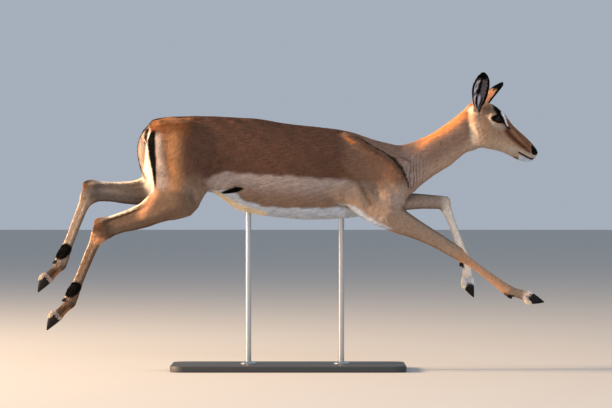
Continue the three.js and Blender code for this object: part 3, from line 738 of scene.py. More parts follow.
# Colours of the coat.
# Some colours stand in for light: belly is white tinted blue by painted sky shade, nape is a sunlit orange
# laid as painted sunlight, sunlit is painted sunlight and shade is painted shade; beside their use as hair
# colours, dusk, gold and black are also laid as painted shade and shadow, and cream, rump and cannon as
# painted sunlight.
palette = {
    "saddle": (104, 76, 63), "rump": (194, 141, 98), "flank": (176, 158, 150), "strip": (140, 113, 95),
    "belly": (200, 210, 224), "milk": (222, 206, 198), "leg": (172, 146, 126), "shank": (124, 102, 86),
    "inner": (196, 182, 168),
    "shade": (115, 110, 108), "cream": (248, 234, 212), "black": (9, 8, 8), "neck": (156, 125, 108),
    "nape": (246, 166, 106), "throat": (196, 168, 146), "sunlit": (255, 230, 200), "face": (170, 142, 119),
    "nose": (118, 70, 42), "lead": (84, 74, 70), "pad": (9, 9, 10), "earInside": (106, 102, 108),
    "earPale": (212, 208, 224), "earBack": (214, 158, 118), "tail": (215, 190, 169), "dusk": (66, 47, 38),
    "shoulder": (136, 104, 85), "gold": (106, 78, 54), "amber": (226, 128, 50), "cannon": (220, 164, 122),
    "moon": (248, 237, 226), "croup": (142, 87, 50), "mist": (190, 166, 158), "snow": (232, 236, 250),
    "blush": (216, 196, 182),
}
palette = {name: (np.array(rgb) / 255) ** 2.2 for name, rgb in palette.items()}

# Edges of the markings seen from the side, for the right side and its mirror.
marks = {
    "backEdge": [(-480, 600), (-340, 600), (-285, 606), (-250, 622), (-225, 636), (-204, 642), (-156, 636),
                 (-27, 630), (70, 620), (182, 617), (247, 604), (330, 596), (420, 600)],
    "bellyEdge": [(-300, 590), (-240, 590), (-169, 578), (-146, 552), (-85, 533), (5, 524), (102, 524),
                  (183, 531), (215, 522), (260, 500)],
    "stripe": [(-441, 782), (-439, 714), (-434, 666), (-426, 598)],
    "pale": [(-424, 752), (-421, 700), (-412, 650), (-404, 606)],
    "slit": [(-457, 779), (-464, 744)],
    "dimple": [(-414, 805), (-404, 806)],
    "warm": [(-375, 800), (-370, 713), (-368, 649), (-362, 575)],
    "gaskinSunlight": [(-430, 575), (-446, 545), (-474, 503)],
    "spot": [(188, 753), (210, 737)],
    "ridge": [(240, 722), (278, 697), (312, 672), (338, 644), (354, 612)],
    "crease": [(228, 612), (240, 590), (252, 565), (264, 540)],
    "behindShoulder": [(150, 655), (182, 640), (212, 624)],
    "furrow": [(212, 760), (234, 750), (266, 730), (308, 707), (342, 682), (367, 651), (384, 613),
               (390, 585)],
    "armpit": [(130, 549), (194, 536), (214, 524), (242, 503), (268, 485), (288, 472), (307, 466),
               (332, 461)],
    "fold": [(-275, 566), (-240, 583), (-216, 590)],
    "neckFurrow": [(584, 858), (580, 836), (583, 806), (588, 776), (594, 750)],
    "groinEdge": [(-235, 575), (-195, 551), (-156, 529), (-118, 516), (-80, 506)],
    "jaw": [(603, 880), (596, 844), (598, 812), (600, 779), (606, 747), (614, 730)],
    "eyeRing": [(656, 830), (651, 818), (655, 807), (665, 799)],
    "under": [(664, 796), (683, 791), (699, 788)],
    "blaze": [(692, 838), (698, 824), (704, 809), (709, 798), (713, 789)],
    "hipHighlight": [(-436, 795), (-415, 801), (-393, 805)],
    "wart": [(682, 771), (684, 770)],
    "tear": [(690, 806), (702, 801), (709, 793), (716, 784)],
    "forehead": [(655, 872), (666, 864), (676, 855)],
    "brow": [(676, 850), (682, 838)],
    "streak": [(609, 866), (613, 848), (618, 832)],
    "nose": [(702, 790), (716, 767), (734, 749), (752, 734), (770, 720), (780, 709)],
    "bridge": [(716, 806), (736, 785), (760, 759), (784, 733), (794, 724)],
    "mouth": [(748, 707), (764, 698), (784, 687), (800, 684), (812, 683)],
    "lips": [(716, 721), (738, 715), (767, 705), (784, 695)],
    "chin": [(753, 686), (770, 679), (784, 678)],
    "corner": [(733, 690), (744, 688)],
}
nosePad = [(798, 722), (803, 715), (799, 709)]


def over(colour, name, share):
    # a colour of the palette laid over what is there, by one share or one for each point
    share = np.broadcast_to(share, len(colour))
    return colour + (palette[name] - colour) * np.clip(share, 0, 1)[:, None]


def plain(name, count):
    # one colour of the palette for every point
    return np.tile(palette[name], (count, 1))


def heightOf(name, x):
    # the height of a marking's edge over each x
    edge = np.array(marks[name], float)
    return np.interp(x, edge[:, 0], edge[:, 1])


def forwardOf(name, z):
    # how far forward a marking's upright edge is at each height
    edge = np.array(marks[name], float)[::-1]
    return np.interp(z, edge[:, 1], edge[:, 0])


# How far a line on the body strays, as a share of the coat's roughness.
ragged = 0.4


class Paint:
    # colours of points on the skin, seen from the side: markings are laid over one another on a ground,
    # with rough edges, and lines take the ragged share of the roughness
    def __init__(self, points, ground, rough, ragged=1):
        self.points, self.colour = points, plain(ground, len(points))
        self.x, self.y, self.z = points.T
        self.rough, self.ragged = rough, rough * ragged
        self.out = np.abs(self.y)

    def over(self, name, share):
        # a named colour laid over by its share
        self.colour = over(self.colour, name, share)

    def mix(self, colour, share):
        # other colours laid over by their share
        self.colour += (colour - self.colour) * share[:, None]

    def near(self, name, width, soft):
        # 1 within the width of a marking's line, fading out over the softness to each side
        apart, _ = toPolyline(self.x, self.z, marks[name])
        return ease(width + soft, width - soft, apart + self.ragged)

    def above(self, name):
        # height over a marking's ragged edge
        return self.z - heightOf(name, self.x) + self.rough


def legColours(colour, points, normals, shares):
    # outer side tan, inner side paler, and black glands above the hind fetlocks; the gaskin's inner side has
    # painted shade instead, the hind legs' pale back edges are painted sunlit rims, and painted shade darkens
    # the front edges, the groove behind the gaskin, the hocks, the hind pasterns and the far hind leg
    found, total = np.zeros_like(colour), np.zeros(len(points))
    for form, share in zip(forms, shares):
        kind, name = form["region"], form["key"]
        if name not in legs:
            continue
        near = np.flatnonzero(share > 0.005)
        p, side = points[near], legs[name]["side"]
        t, u, v = localOf(form, p)
        front, back, width = (np.interp(t, form["at"], form["reach"][:, c]) for c in range(3))
        rough = grain(p, 9, 4) * 1.6
        inwards = ease(0.05, 0.6, -normals[near, 1] * side)
        hind, heel = kind[:4] == "hind" or kind == "thigh", form["at"][-1] < 40
        c = plain("shank" if hind else "leg", len(near))
        c = over(c, "gold", 0.3 * (kind == "hindLow"))
        # the gaskin's inner side takes painted shade, the other legs' inner sides are paler
        c = over(c, "shade" if kind == "hindLong" else "inner", inwards * (0.8 if kind != "hindLow" else 0.4))
        # painted shade along the front edges
        edge = 0.6 * ease(0.7, 1, v / front) * ease(-0.5, 0.5, 1 - np.abs(u) / width)
        c = over(c, "dusk", edge * (ease(60, 130, t) if kind == "hindLong" else kind != "thigh"))
        if kind == "thigh":
            c = over(c, "leg", 0.35)
            c = over(c, "saddle", ease(-60, 40, p[:, 2] - 628 + rough * 3) * (1 - inwards))
            c = over(c, "belly", 0.8 * inwards)
        if kind == "hindLong":
            # painted shade along the groove between the tendon and the bone
            c = over(c, "dusk", 0.3 * bump(v + 0.3 * back, 8) * ease(80, 130, t))
            c = over(c, "dusk", 0.85 * bump(v + 0.64 * back, 4.5) * ease(90, 130, t) * (1 - inwards))
            if name == "hindLeft":
                c = over(c, "moon", 0.15 * bump(v + 0.1 * back, 9) * ease(150, 220, t))
                # painted shade over the far gaskin
                c = over(c, "dusk", 0.3 * ease(180, 100, t) + 0.1)
            # a painted sunlit rim along the back edge
            c = over(c, "cream", 0.85 * ease(0.74, 0.94, -v / back + rough * 0.04) * ease(70, 120, t))
            # painted shade towards the hock
            c = over(c, "dusk", 0.45 * ease(232, 262, t))
        if kind == "hindLow":
            # painted shade on the inner side about the hock
            c = over(c, "shade", 0.5 * bump(t - 2, 26) * inwards)
            c = over(c, "cannon", 0.1 * ease(0.1, 0.7, -v / back))
            c = over(c, "moon", 0.08 * bump(v + 0.2 * back, 6) * ease(30, 70, t))
            # painted shade at the hock, deeper on the far leg
            c = over(c, "dusk", 0.9 * bump(t - 2 + 0.4 * v, 15) * ease(16, -4, v) * (1 - inwards))
            c = over(c, "shade", 0.5 * bump(t, 24) * (name == "hindLeft"))
            c = over(c, "cannon", 0.85 * bump(t - 38 + rough * 4, 15) * (1 - inwards))
            shin = 0.4 * bump(v - 0.8 * front, 4) * ease(60, 90, t)
            c = over(c, "gold", 0.5 * bump(t - 24 + 0.6 * v, 5) + shin)
            c = over(c, "croup", 0.8 * ease(12, -8, t) * ease(-4, -16, v))
            # a painted sunlit rim along the back edge
            c = over(c, "cream", 0.7 * ease(0.86, 0.98, -v / back + rough * 0.04) * ease(8, 30, t))
            c = over(c, "black", glandShare(form, p))
            # a black spot of painted shade at the point of the far hock
            if side > 0:
                c = over(c, "black", 0.9 * ease(15, 7, np.hypot(t + 24, v + 26) + rough))
        if kind in ("hindEnd", "foreEnd"):
            low, heelShare = (54, 0.6) if hind else (44, 0.9)
            c = over(c, {"foreLeft": "moon", "foreRight": "leg"}.get(name, "gold"), 0.9)
            # painted shade on the hind pasterns, deeper on the far one
            c = over(c, "dusk", (0.72 + 0.14 * (name == "hindLeft")) * hind)
            c = over(c, "cream", ease(0, 12, t - low + rough) * 0.6 + heelShare * heel)
            c = over(c, "rump", 0.5 * hind * ease(0.2, 0.8, v / front) * (t > 12) * (not heel))
            if not heel:
                c = over(c, "black", ease(0, 5, 9 - np.abs(t - 14)) * ease(0, 5, -v - 8))
        if kind == "foreLow":
            c = over(c, "cannon", (0.45 + 0.4 * ease(0.3, 0.7, -v / back)) * (1 - inwards))
            c = over(c, "moon", (0.9 + 0.1 * bump(v + 2, 4)) * inwards)
            # painted shade along the front of the inner side
            c = over(c, "dusk", 0.3 * ease(0.4, 0.9, v / front) * inwards)
            c = over(c, "black", 0.9 * ease(0, 6, t - 196 + rough) * ease(0, 6, -v - 8))
        if kind == "foreLong":
            c = over(c, "shank", 0.45 * (name == "foreLeft"))
            c = over(c, "mist", 0.5 * bump(v, 9) * ease(60, 130, t) * (name == "foreLeft"))
            # painted shade along the back edge
            c = over(c, "dusk", 0.35 * ease(0.6, 0.95, -v / back + rough * 0.05) * ease(40, 90, t))
        found[near] += c * share[near][:, None]
        total[near] += share[near]
    return colour * (1 - np.minimum(total, 1))[:, None] + found


def paintRings(face):
    # black lids, and a dark almond of hair about each eye
    for eye in eyes.values():
        _, _, out, outside = eyePlace(eye, face.points)
        face.over("black", ease(4.6, 3.0, outside + face.rough * 0.4) * ease(0, 6, out))
        dx, dz = face.x - eye["at"][0], face.z - eye["at"][2]
        a, b = dx * 0.97 - dz * 0.24, dx * 0.24 + dz * 0.97 + 3
        rim = np.sqrt(((a - 3) / 25) ** 2 + (b / np.where(b > 0, 14, 10.5)) ** 2)
        face.over("black", ease(1.08, 0.94, rim + face.rough * 0.04) * ease(0, 6, out))


def headColours(points, normals):
    # fawn face with dark forehead, brow, muzzle stripe and tear line, a white brow line and a pale jaw, with
    # painted sunlight on the top of the head, on the cheek and behind the jaw
    face = Paint(points, "face", grain(points, 7, 6) * 0.7)
    x, z, out, rough, near = face.x, face.z, face.out, face.rough, face.near
    side = ease(6, 16, out)
    face.over("inner", 0.55 * ease(12, -14, z - 738 + (x - 640) * 0.25))
    # painted sunlight on the top of the head behind the ears
    face.over("nape", 0.6 * ease(0, 16, z - 846 + (x - 600) * 0.4) * ease(650, 630, x))
    face.over("nape", 0.22 * bump(x - 628, 26) * bump(z - 790, 50) * side)
    face.over("sunlit", 0.24 * bump(x - 700, 60) * bump(z - 735 + 0.3 * (x - 690), 16) * side)
    face.over("lead", 0.75 * bump(x - 640, 26) * bump(z - 848, 18) * side)
    face.colour = jawLight(points, face.colour)
    face.over("black", 0.75 * near("streak", 2.5, 3) * side)
    face.over("nose", 0.88 * near("bridge", 11, 9))
    face.over("throat", 0.25 * near("bridge", 2, 3) * ease(4, 9, out))
    apart, place = toPolyline(x, z, marks["nose"])
    face.over("nose", 0.9 * ease(18, 4, apart + 5 * place + rough) * side)
    face.over("dusk", 0.5 * ease(9, 3, apart + 3 * place + rough) * side)
    face.over("inner", 0.65 * near("under", 7, 8) * side)
    face.over("dusk", 0.6 * bump(x - 708, 7) * bump(z - 792, 8) * side)
    face.over("gold", 0.9 * near("wart", 1.6, 1.2) * side)
    face.over("cream", 0.7 * near("eyeRing", 2.6, 4) * side)
    face.over("black", 0.9 * near("forehead", 4.5, 3.5))
    face.over("lead", 0.8 * near("brow", 14, 5) * ease(4, 12, out))
    face.over("black", near("brow", 9.5, 3) * ease(6, 14, out))
    face.over("inner", 0.8 * near("lips", 6, 5))
    face.over("belly", bump(x - 802, 8) * bump(z - 696, 5) + near("chin", 9, 2))
    face.over("gold", 0.8 * near("corner", 4.5, 3))
    face.over("black", 0.9 * near("tear", 3.6, 1.5) * side)
    apart, _ = toPolyline(x, z, marks["mouth"])
    face.over("dusk", 0.7 * ease(4.0, 2.2, apart))
    face.over("black", ease(2.6, 1.5, apart))
    paintRings(face)
    apart, place = toPolyline(x, z, marks["blaze"])
    line = ease(1.2, 0, apart - 3.3 + 1.7 * place + rough * 0.3) * ease(1.0, 0.9, place)
    face.over("snow", line * ease(0.12, 0.4, np.abs(normals[:, 1])) * ease(17, 24, out))
    return face.colour


# Patches inside the ears: [colour, place across (1 at the rear edge), place along, half sizes of both].
earBlots = [
    ["earPale", 0.5, 0.5, 0.34, 0.3], ["earPale", 0.22, 0.78, 0.16, 0.1],
    ["earInside", 0.46, 0.62, 0.13, 0.06],
    ["black", -0.12, 0.64, 0.17, 0.19], ["black", 0.02, 0.45, 0.3, 0.08], ["black", 0.5, 0.4, 0.2, 0.045],
    ["earPale", 0.55, 0.29, 0.3, 0.08], ["earPale", -0.25, 0.22, 0.17, 0.14],
    ["black", 0.14, 0.19, 0.2, 0.15],
    ["dusk", -0.6, 0.2, 0.16, 0.12],
]


def earColours(points):
    # sandy behind, and inside dark grey with pale and black blots, black at the edges and the tip
    c = plain("earBack", len(points))
    best = np.full(len(points), 1e6)
    for name, ear in ears.items():
        place = earPlace(ear, points)
        mine = place["apart"] < best
        best = np.minimum(best, place["apart"])
        v, turn = place["v"], place["angle"] / place["turn"]
        rough = grain(points, 8, 9) * 0.05
        leading = turn if name == "ear_right" else -turn
        inner = plain("earInside", len(points))
        for shade, across, height, wide, tall in earBlots:
            apart = np.hypot((leading - across) / wide, (v - height) / tall)
            inner = over(inner, shade, 0.95 * ease(1.15, 0.8, apart + rough))
        inner = over(inner, "black", ease(0.84, 0.93, leading + rough) + ease(0.8, 0.92, -leading + rough))
        inner = over(inner, "sunlit", 0.8 * ease(0.8, 0.92, leading + rough) * ease(0.45, 0.3, v))
        outer = plain("earBack", len(points))
        outer = over(outer, "black", ease(0.88, 0.94, np.abs(leading) + rough * 0.5) * ease(0.1, 0.2, v))
        if name == "ear_left":
            outer = over(outer, "black", ease(0.58, 0.66, v + rough))
        outer = over(outer, "lead", 0.5 * ease(0.2, 0.06, v))
        painted = np.where((place["inside"] > 0)[:, None], inner, outer)
        painted = over(painted, "black", ease(0.78, 0.85, v + rough))
        c = np.where(mine[:, None], painted, c)
    return c


def jawLight(points, colour):
    # lit hair behind the cheek: sharp behind, fading forwards into the cheek, whiter at the top
    x, y, z = points.T
    ahead = x - forwardOf("jaw", z) + grain(points, 9, 42) * 0.8
    speckle = grain(points, 5, 41)
    fading = ease(38, -4, ahead + 6 * grain(points, 9, 44) + 5 * speckle) * ease(-17, -11, ahead)
    share = fading * ease(724, 745, z) * ease(886, 866, z) * ease(10, 22, np.abs(y))
    colour = over(colour, "nape", 0.45 * share)
    lit = 0.95 * ease(822, 846, z) + np.clip(0.5 + 0.45 * speckle, 0, 1) * ease(815, 785, z) + 0.42
    colour = over(colour, "sunlit", share * np.minimum(lit, 0.95))
    return over(colour, "snow", 0.6 * share * ease(832, 856, z))


def paintBands(coat, normals, leggy, sideways):
    # brown back, paler flank with a fawn strip, and a white belly, with edges that soften at both ends
    x, z = coat.x, coat.z
    low, high = coat.above("bellyEdge"), coat.above("backEdge")
    ends = 8 + 26 * np.maximum(ease(-230, -330, x), ease(170, 250, x))
    coat.over("strip", 0.9 * ease(0.85, 0.25, low / np.maximum(low - high, 20)) * ease(-195, -150, x))
    coat.over("leg", ease(190, 250, x) * 0.8)
    coat.over("saddle", ease(-1, 1, high / ends))
    coat.over("shoulder", ease(-1, 1, high / ends) * ease(150, 215, x))
    coat.over("croup", 0.5 * ease(60, 150, z - 655) * ease(-250, -400, x))
    coat.over("belly", ease(-6, 6, -low) * ease(330, 280, x) * (1 - leggy * sideways))
    coat.over("belly", ease(0.7, 0.9, -normals[:, 2]) * ease(600, 570, z) * ease(330, 260, x) * (1 - leggy))


def neckColours(points, rough):
    # tan, with warm painted sunlight along the nape, pale at the throat, and painted shade as dark lines in
    # the folds at its foot and in the furrow behind the jaw
    neck = Paint(points, "neck", rough, ragged)
    x, z = neck.x, neck.z
    _, _, v = localOf(next(form for form in forms if form["region"] == "neck"), points)
    # painted sunlight along the nape
    neck.over("nape", ease(8, 34, v + rough) * ease(400, 450, x))
    neck.over("throat", 0.75 * ease(-20, -60, v + rough))
    neck.over("dusk", 0.35 * ease(0.1, 1.2, grain(points, 6, 43)) * ease(0, 30, v) * ease(430, 480, x))
    neck.colour = jawLight(points, neck.colour)
    # painted shade in the furrow behind the jaw
    neck.over("dusk", 0.45 * neck.near("neckFurrow", 2.5, 4) * ease(12, 24, neck.out))
    neck.over("mist", 0.75 * bump(x - 402, 50) * bump(z - 622, 66))
    # painted shade in the troughs of the folds
    neck.over("dusk", 0.7 * ease(-0.1, -0.9, folds(points)) * bump(x - 408, 34) * bump(z - 622, 58))
    return neck.colour


def shoulderColours(points, rough):
    # fawn, brown above the back's edge and along the blade's ridge, and painted shade in the armpit's crease
    arm = Paint(points, "leg", rough, ragged)
    x, z, high = arm.x, arm.z, arm.above("backEdge")
    arm.over("shoulder", ease(-1, 1, high / 30))
    arm.over("saddle", ease(200, 110, x + 0.4 * (z - 640)) * ease(-1, 1, high / 30))
    arm.over("saddle", 0.5 * bump(x - 235, 60) * bump(z - 690, 40))
    arm.over("saddle", 0.55 * arm.near("ridge", 10, 16))
    # painted shade in the armpit's crease
    arm.over("gold", 0.9 * arm.near("crease", 6, 8))
    arm.over("flank", 0.5 * bump(x - 352, 42) * bump(z - 560, 36))
    arm.over("moon", 0.35 * bump(x - 246, 15) * bump(z - 606, 9))
    return arm.colour


def paintRump(coat, normals, regions, onRump, leggy, sideways):
    # orange croup, a pale patch down the thigh's edge, the white stern with its black stripes, and the black
    # line that runs from the croup to the tail; painted sunlight down a column of the rump, along the
    # buttock's edge, on the hip and on the gaskin, and painted shade in the dimple and low on the pale patch
    x, z, rough, near = coat.x, coat.z, coat.rough, coat.near
    speckle = grain(coat.points, 7, 61)
    coat.over("croup", 0.75 * ease(712, 786, z + rough * 2) * onRump)
    coat.over("rump", 0.55 * ease(796, 810, z) * onRump)
    # painted sunlight: a warm column down the rump
    warm = (0.72 + 0.12 * speckle) * near("warm", 24, 22)
    coat.over("rump", warm * onRump * sideways * ease(800, 750, z))
    coat.over("blush", (0.9 + 0.1 * speckle) * near("pale", 12, 20) * onRump)
    coat.over("shade", 0.6 * near("pale", 12, 20) * onRump * ease(672, 630, z + rough * 2))
    coat.over("dusk", 0.5 * ease(0.5, 1.3, speckle) * near("pale", 36, 30) * onRump * ease(790, 740, z))
    # painted shade in the dimple
    coat.over("dusk", 0.8 * near("dimple", 6, 5) * onRump)
    # painted sunlight on the gaskin's upper edge
    coat.over("cannon", 0.75 * near("gaskinSunlight", 11, 13) * leggy * ease(40, 60, coat.out))
    behind = forwardOf("stripe", z) - x - 12 * ease(-20, 20, coat.y) + rough * 0.3
    tall = ease(786, 774, z + rough * 0.4) * ease(585, 610, z)
    coat.over("milk", ease(4, 8, behind) * ease(790, 776, z + rough * 0.5) * ease(500, 560, z) * onRump)
    # painted sunlight along the buttock's edge behind the stripe
    coat.over("cream", 0.85 * bump(behind - 22, 16) * ease(785, 750, z) * ease(560, 620, z) * onRump)
    # painted highlight along the hip
    coat.over("rump", 0.7 * near("hipHighlight", 2, 6) * onRump)
    width = np.interp(z, [600, 645, 690, 730, 770, 782], [4, 7, 11, 13.5, 13.5, 8])
    stripe = ease(1.6, -1.6, np.abs(behind - 1) - width)
    coat.over("black", stripe * tall * onRump * ease(42, 54, coat.out))
    crest = ease(22, 13, coat.out + rough * 0.5) * ease(0.2, 0.6, normals[:, 2])
    coat.over("black", 0.9 * crest * ease(-280, -350, x) * regions["trunk"])


def paintLines(coat, regions, body, sideways):
    # painted shadow as a dark line in the furrow ahead of the shoulder, painted shade behind the shoulder, on
    # its lower rear and along the stifle's fold, the white line behind the elbow, painted shadow filling the
    # hollow at the stifle in black, and the sunlit edge of the groin
    x, z, rough, near = coat.x, coat.z, coat.rough, coat.near
    # painted shadow: a black line along the furrow ahead of the shoulder
    thick = 1.1 + 3.6 * bump(x - 348, 26)
    apart, _ = toPolyline(x, z, marks["furrow"])
    furrow = 0.9 * ease(thick + 2, thick, apart + rough * 0.15) * body * sideways
    coat.over("black", furrow * ease(200, 235, x) * ease(34, 48, coat.out))
    coat.over("amber", 0.7 * near("spot", 2.5, 4.5) * body * sideways)
    # painted shade behind the shoulder
    coat.over("gold", 0.7 * near("behindShoulder", 6, 12) * body * sideways)
    coat.over("shade", 0.5 * bump(x - 182, 30) * bump(z - 572, 26) * body * sideways)
    arm = regions["shoulder"] + regions["foreLong"] + regions["trunk"]
    apart, place = toPolyline(x, z, marks["armpit"])
    line = ease(2, -2, apart + rough * 0.4 - 3 - 5 * ease(0.1, 0.3, place) * ease(1, 0.85, place))
    coat.over("belly", line * arm * ease(140, 215, x) * ease(60, 72, coat.out))
    # painted shadow fills the hollow under the fold at the stifle in black, and painted shade lies along the
    # fold
    a, b = 0.972 * (x + 181) + 0.235 * (z - 583), 0.972 * (z - 583) - 0.235 * (x + 181)
    stifleShadow = np.hypot(a / 36, b / (6.5 + 4 * ease(-30, 20, a)))
    stifle = regions["trunk"] + regions["thigh"]
    coat.over("gold", 0.7 * near("fold", 2, 3) * stifle * sideways)
    coat.over("black", ease(1.1, 0.85, stifleShadow) * stifle * sideways)
    coat.over("sunlit", near("groinEdge", 9, 4) * regions["trunk"])


def tailColours(points):
    # buff, black down the middle behind, and white at the edges and the tip
    place, _, u, v = tailWhere(points)
    c = over(plain("tail", len(points)), "black", ease(14, 10, np.abs(u)) * ease(-2, 3, -v))
    return over(c, "milk", ease(8, 13, v) + ease(0.85, 0.97, place))


def coatColour(points, normals, shares, regions):
    # bands of flank, back and belly, then shoulder, neck, legs and rump over them by their shares, the
    # black and white lines, and last the head, the ears, the tail and the bare nose
    rough = grain(points, 70, 1) * 2.5 + grain(points, 15, 2) * 1.1
    coat = Paint(points, "flank", rough, ragged)
    x, z, out = coat.x, coat.z, coat.out
    sideways = ease(0.05, 0.35, np.abs(normals[:, 1]))
    leggy = regions["thigh"] + regions["hindLong"]
    onRump = (regions["thigh"] + regions["trunk"]) * ease(-300, -340, x)
    body = sum(regions[r] for r in ("trunk", "neck", "shoulder"))
    paintBands(coat, normals, leggy, sideways)
    coat.mix(shoulderColours(points, rough), regions["shoulder"] * ease(-4, 6, out - 40))
    ahead = ease(-3, 5, z - heightOf("furrow", x) + rough * 0.3) * ease(220, 290, x)
    onNeck = np.maximum(regions["neck"] * ease(350, 400, x), ahead * (1 - regions["foreLong"]))
    coat.mix(neckColours(points, rough), onNeck)
    coat.colour = legColours(coat.colour, points, normals, shares)
    paintRump(coat, normals, regions, onRump, leggy, sideways)
    paintLines(coat, regions, body, sideways)
    c = coat.colour * (1 + 0.07 * body * grain(points * np.array([0.22, 1, 1.5]), 9, 51))[:, None]
    held = regions["head"] > 0.02
    c[held] += (headColours(points[held], normals[held]) - c[held]) * regions["head"][held][:, None]
    held = regions["ear"] > 0.02
    c[held] += (earColours(points[held]) - c[held]) * ease(0.2, 0.8, regions["ear"][held])[:, None]
    held = regions["tail"] > 0.02
    c[held] += (tailColours(points[held]) - c[held]) * regions["tail"][held][:, None]
    # painted shadow: black in the slit between the tail and the rump
    c = over(c, "black", 0.95 * coat.near("slit", 4.5, 2) * (onRump + regions["tail"]) * ease(34, 28, out))
    c = over(c, "pad", wetness(points, regions))
    return np.clip(c, 0.002, 1)


def wetness(points, regions):
    # 1 on the bare nose, 0 on hair
    pad = toPolyline(points[:, 0], points[:, 2], nosePad)[0]
    return ease(12, 10.5, pad) * ease(783, 787, points[:, 0]) * regions["head"]


def lieOf(points, normals, shares):
    # the way the coat lies: the owners' directions, flat on the skin
    ways = [form["lie"] for form in forms] + [ear["up"] for ear in ears.values()] + [np.array([0.1, 0, -1])]
    total = sum(share[:, None] * way for share, way in zip(shares, ways))
    folded = 2.5 * bump(points[:, 0] - 408, 38) * bump(points[:, 2] - 622, 60)
    total = total + (folded * regionsOf(shares)["neck"])[:, None] * np.array([0.05, 0, -1])
    total = total - (total * normals).sum(1)[:, None] * normals
    return unit(total + 1e-4)


# Meshes and materials.
def meshOf(name, points, *groups, smooth=True):
    # points in millimetres and groups of faces with as many corners each, as a new piece in metres
    mesh = bpy.data.meshes.new(name)
    mesh.vertices.add(len(points))
    mesh.vertices.foreach_set("co", (np.asarray(points) * mm).astype(np.float32).ravel())
    corners = np.concatenate([g.ravel() for g in groups]).astype(np.int32)
    sizes = np.concatenate([np.full(len(g), g.shape[1]) for g in groups])
    mesh.loops.add(len(corners))
    mesh.loops.foreach_set("vertex_index", corners)
    mesh.polygons.add(len(sizes))
    mesh.polygons.foreach_set("loop_start", np.concatenate([[0], np.cumsum(sizes)[:-1]]).astype(np.int32))
    mesh.polygons.foreach_set("use_smooth", np.full(len(sizes), smooth))
    mesh.update(calc_edges=True)
    piece = bpy.data.objects.new(name, mesh)
    bpy.context.scene.collection.objects.link(piece)
    return piece


def paintOn(piece, colour):
    # a colour for each point, kept on the mesh
    layer = piece.data.color_attributes.new("coat", "FLOAT_COLOR", "POINT")
    opaque = np.column_stack([colour, np.ones(len(colour))])
    layer.data.foreach_set("color", opaque.astype(np.float32).ravel())


def valueOn(piece, name, value):
    # a number for each point, kept on the mesh under a name
    layer = piece.data.attributes.new(name, "FLOAT", "POINT")
    layer.data.foreach_set("value", np.asarray(value, np.float32))


def placed(piece, nodes=()):
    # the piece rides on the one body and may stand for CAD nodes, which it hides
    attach(piece, "root")
    if nodes:
        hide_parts(*nodes)
    return piece


class Value:
    # a number that varies over the surface: arithmetic on it adds Math nodes
    def __init__(self, finish, socket):
        self.finish, self.socket = finish, socket

    def maths(self, operation, first, second):
        # one Math node on two values or numbers
        node = self.finish.node("ShaderNodeMath", {"operation": operation}, {0: first, 1: second})
        return Value(self.finish, node.outputs[0])

    def __add__(self, other):
        return self.maths("ADD", self, other)

    __radd__ = __add__

    def __sub__(self, other):
        return self.maths("SUBTRACT", self, other)

    def __rsub__(self, other):
        return self.maths("SUBTRACT", other, self)

    def __mul__(self, other):
        return self.maths("MULTIPLY", self, other)

    __rmul__ = __mul__

    def between(self, low, high):
        # 0 below low, 1 above high, and a smooth step between
        node = self.finish.node("ShaderNodeMapRange", {"interpolation_type": "SMOOTHSTEP"},
                                {"Value": self, "From Min": low, "From Max": high})
        return Value(self.finish, node.outputs["Result"])


class Finish:
    # one material: its shader, and the one way that its nodes are made
    def __init__(self, name, **fixed):
        self.material = bpy.data.materials.new(name)
        self.material.use_nodes = True
        self.tree = self.material.node_tree
        self.shader = self.tree.nodes["Principled BSDF"]
        for socket, value in fixed.items():
            self.shader.inputs[socket.replace("_", " ")].default_value = value

    def node(self, kind, settings=None, inputs=None):
        # a new node: its settings first, then what its sockets hold or are linked to
        node = self.tree.nodes.new(kind)
        for key, value in (settings or {}).items():
            setattr(node, key, value)
        for key, value in (inputs or {}).items():
            self.feed(node.inputs[key], value)
        return node

    def feed(self, socket, value):
        # a link into the socket, or a fixed value on it
        if isinstance(value, Value):
            value = value.socket
        if isinstance(value, bpy.types.NodeSocket):
            self.tree.links.new(value, socket)
        else:
            socket.default_value = value

    def set(self, **inputs):
        # what the shader's own sockets are fed
        for key, value in inputs.items():
            self.feed(self.shader.inputs[key.replace("_", " ")], value)

    def place(self):
        # where each point of the piece is, in metres
        return self.node("ShaderNodeTexCoord").outputs["Object"]

    def noise(self, scale, detail=2.0, stretch=(1, 1, 1)):
        # even noise on the piece's own place, finer with the scale and drawn out by the stretch
        vector = self.node("ShaderNodeMapping", None, {"Vector": self.place(), "Scale": stretch})
        node = self.node("ShaderNodeTexNoise", None,
                         {"Vector": vector.outputs[0], "Scale": scale, "Detail": detail})
        return Value(self, node.outputs["Fac"])

    def painted(self):
        # the colour kept on the mesh by paintOn
        return self.node("ShaderNodeAttribute", {"attribute_name": "coat"}).outputs["Color"]

    def mark(self, name):
        # a number kept on the mesh by valueOn
        return Value(self, self.node("ShaderNodeAttribute", {"attribute_name": name}).outputs["Fac"])

    def tint(self, colour, factor, other, blend="MULTIPLY"):
        # another colour blended into the first by a factor
        node = self.node("ShaderNodeMix", {"data_type": "RGBA", "blend_type": blend})
        for key, value in ((0, factor), (6, colour), (7, other)):
            self.feed(node.inputs[key], value)
        return node.outputs[2]

    def bumps(self, height, distance, strength):
        # fine relief that only the light sees
        sockets = {"Height": height, "Distance": distance, "Strength": strength}
        self.set(Normal=self.node("ShaderNodeBump", None, sockets).outputs[0])


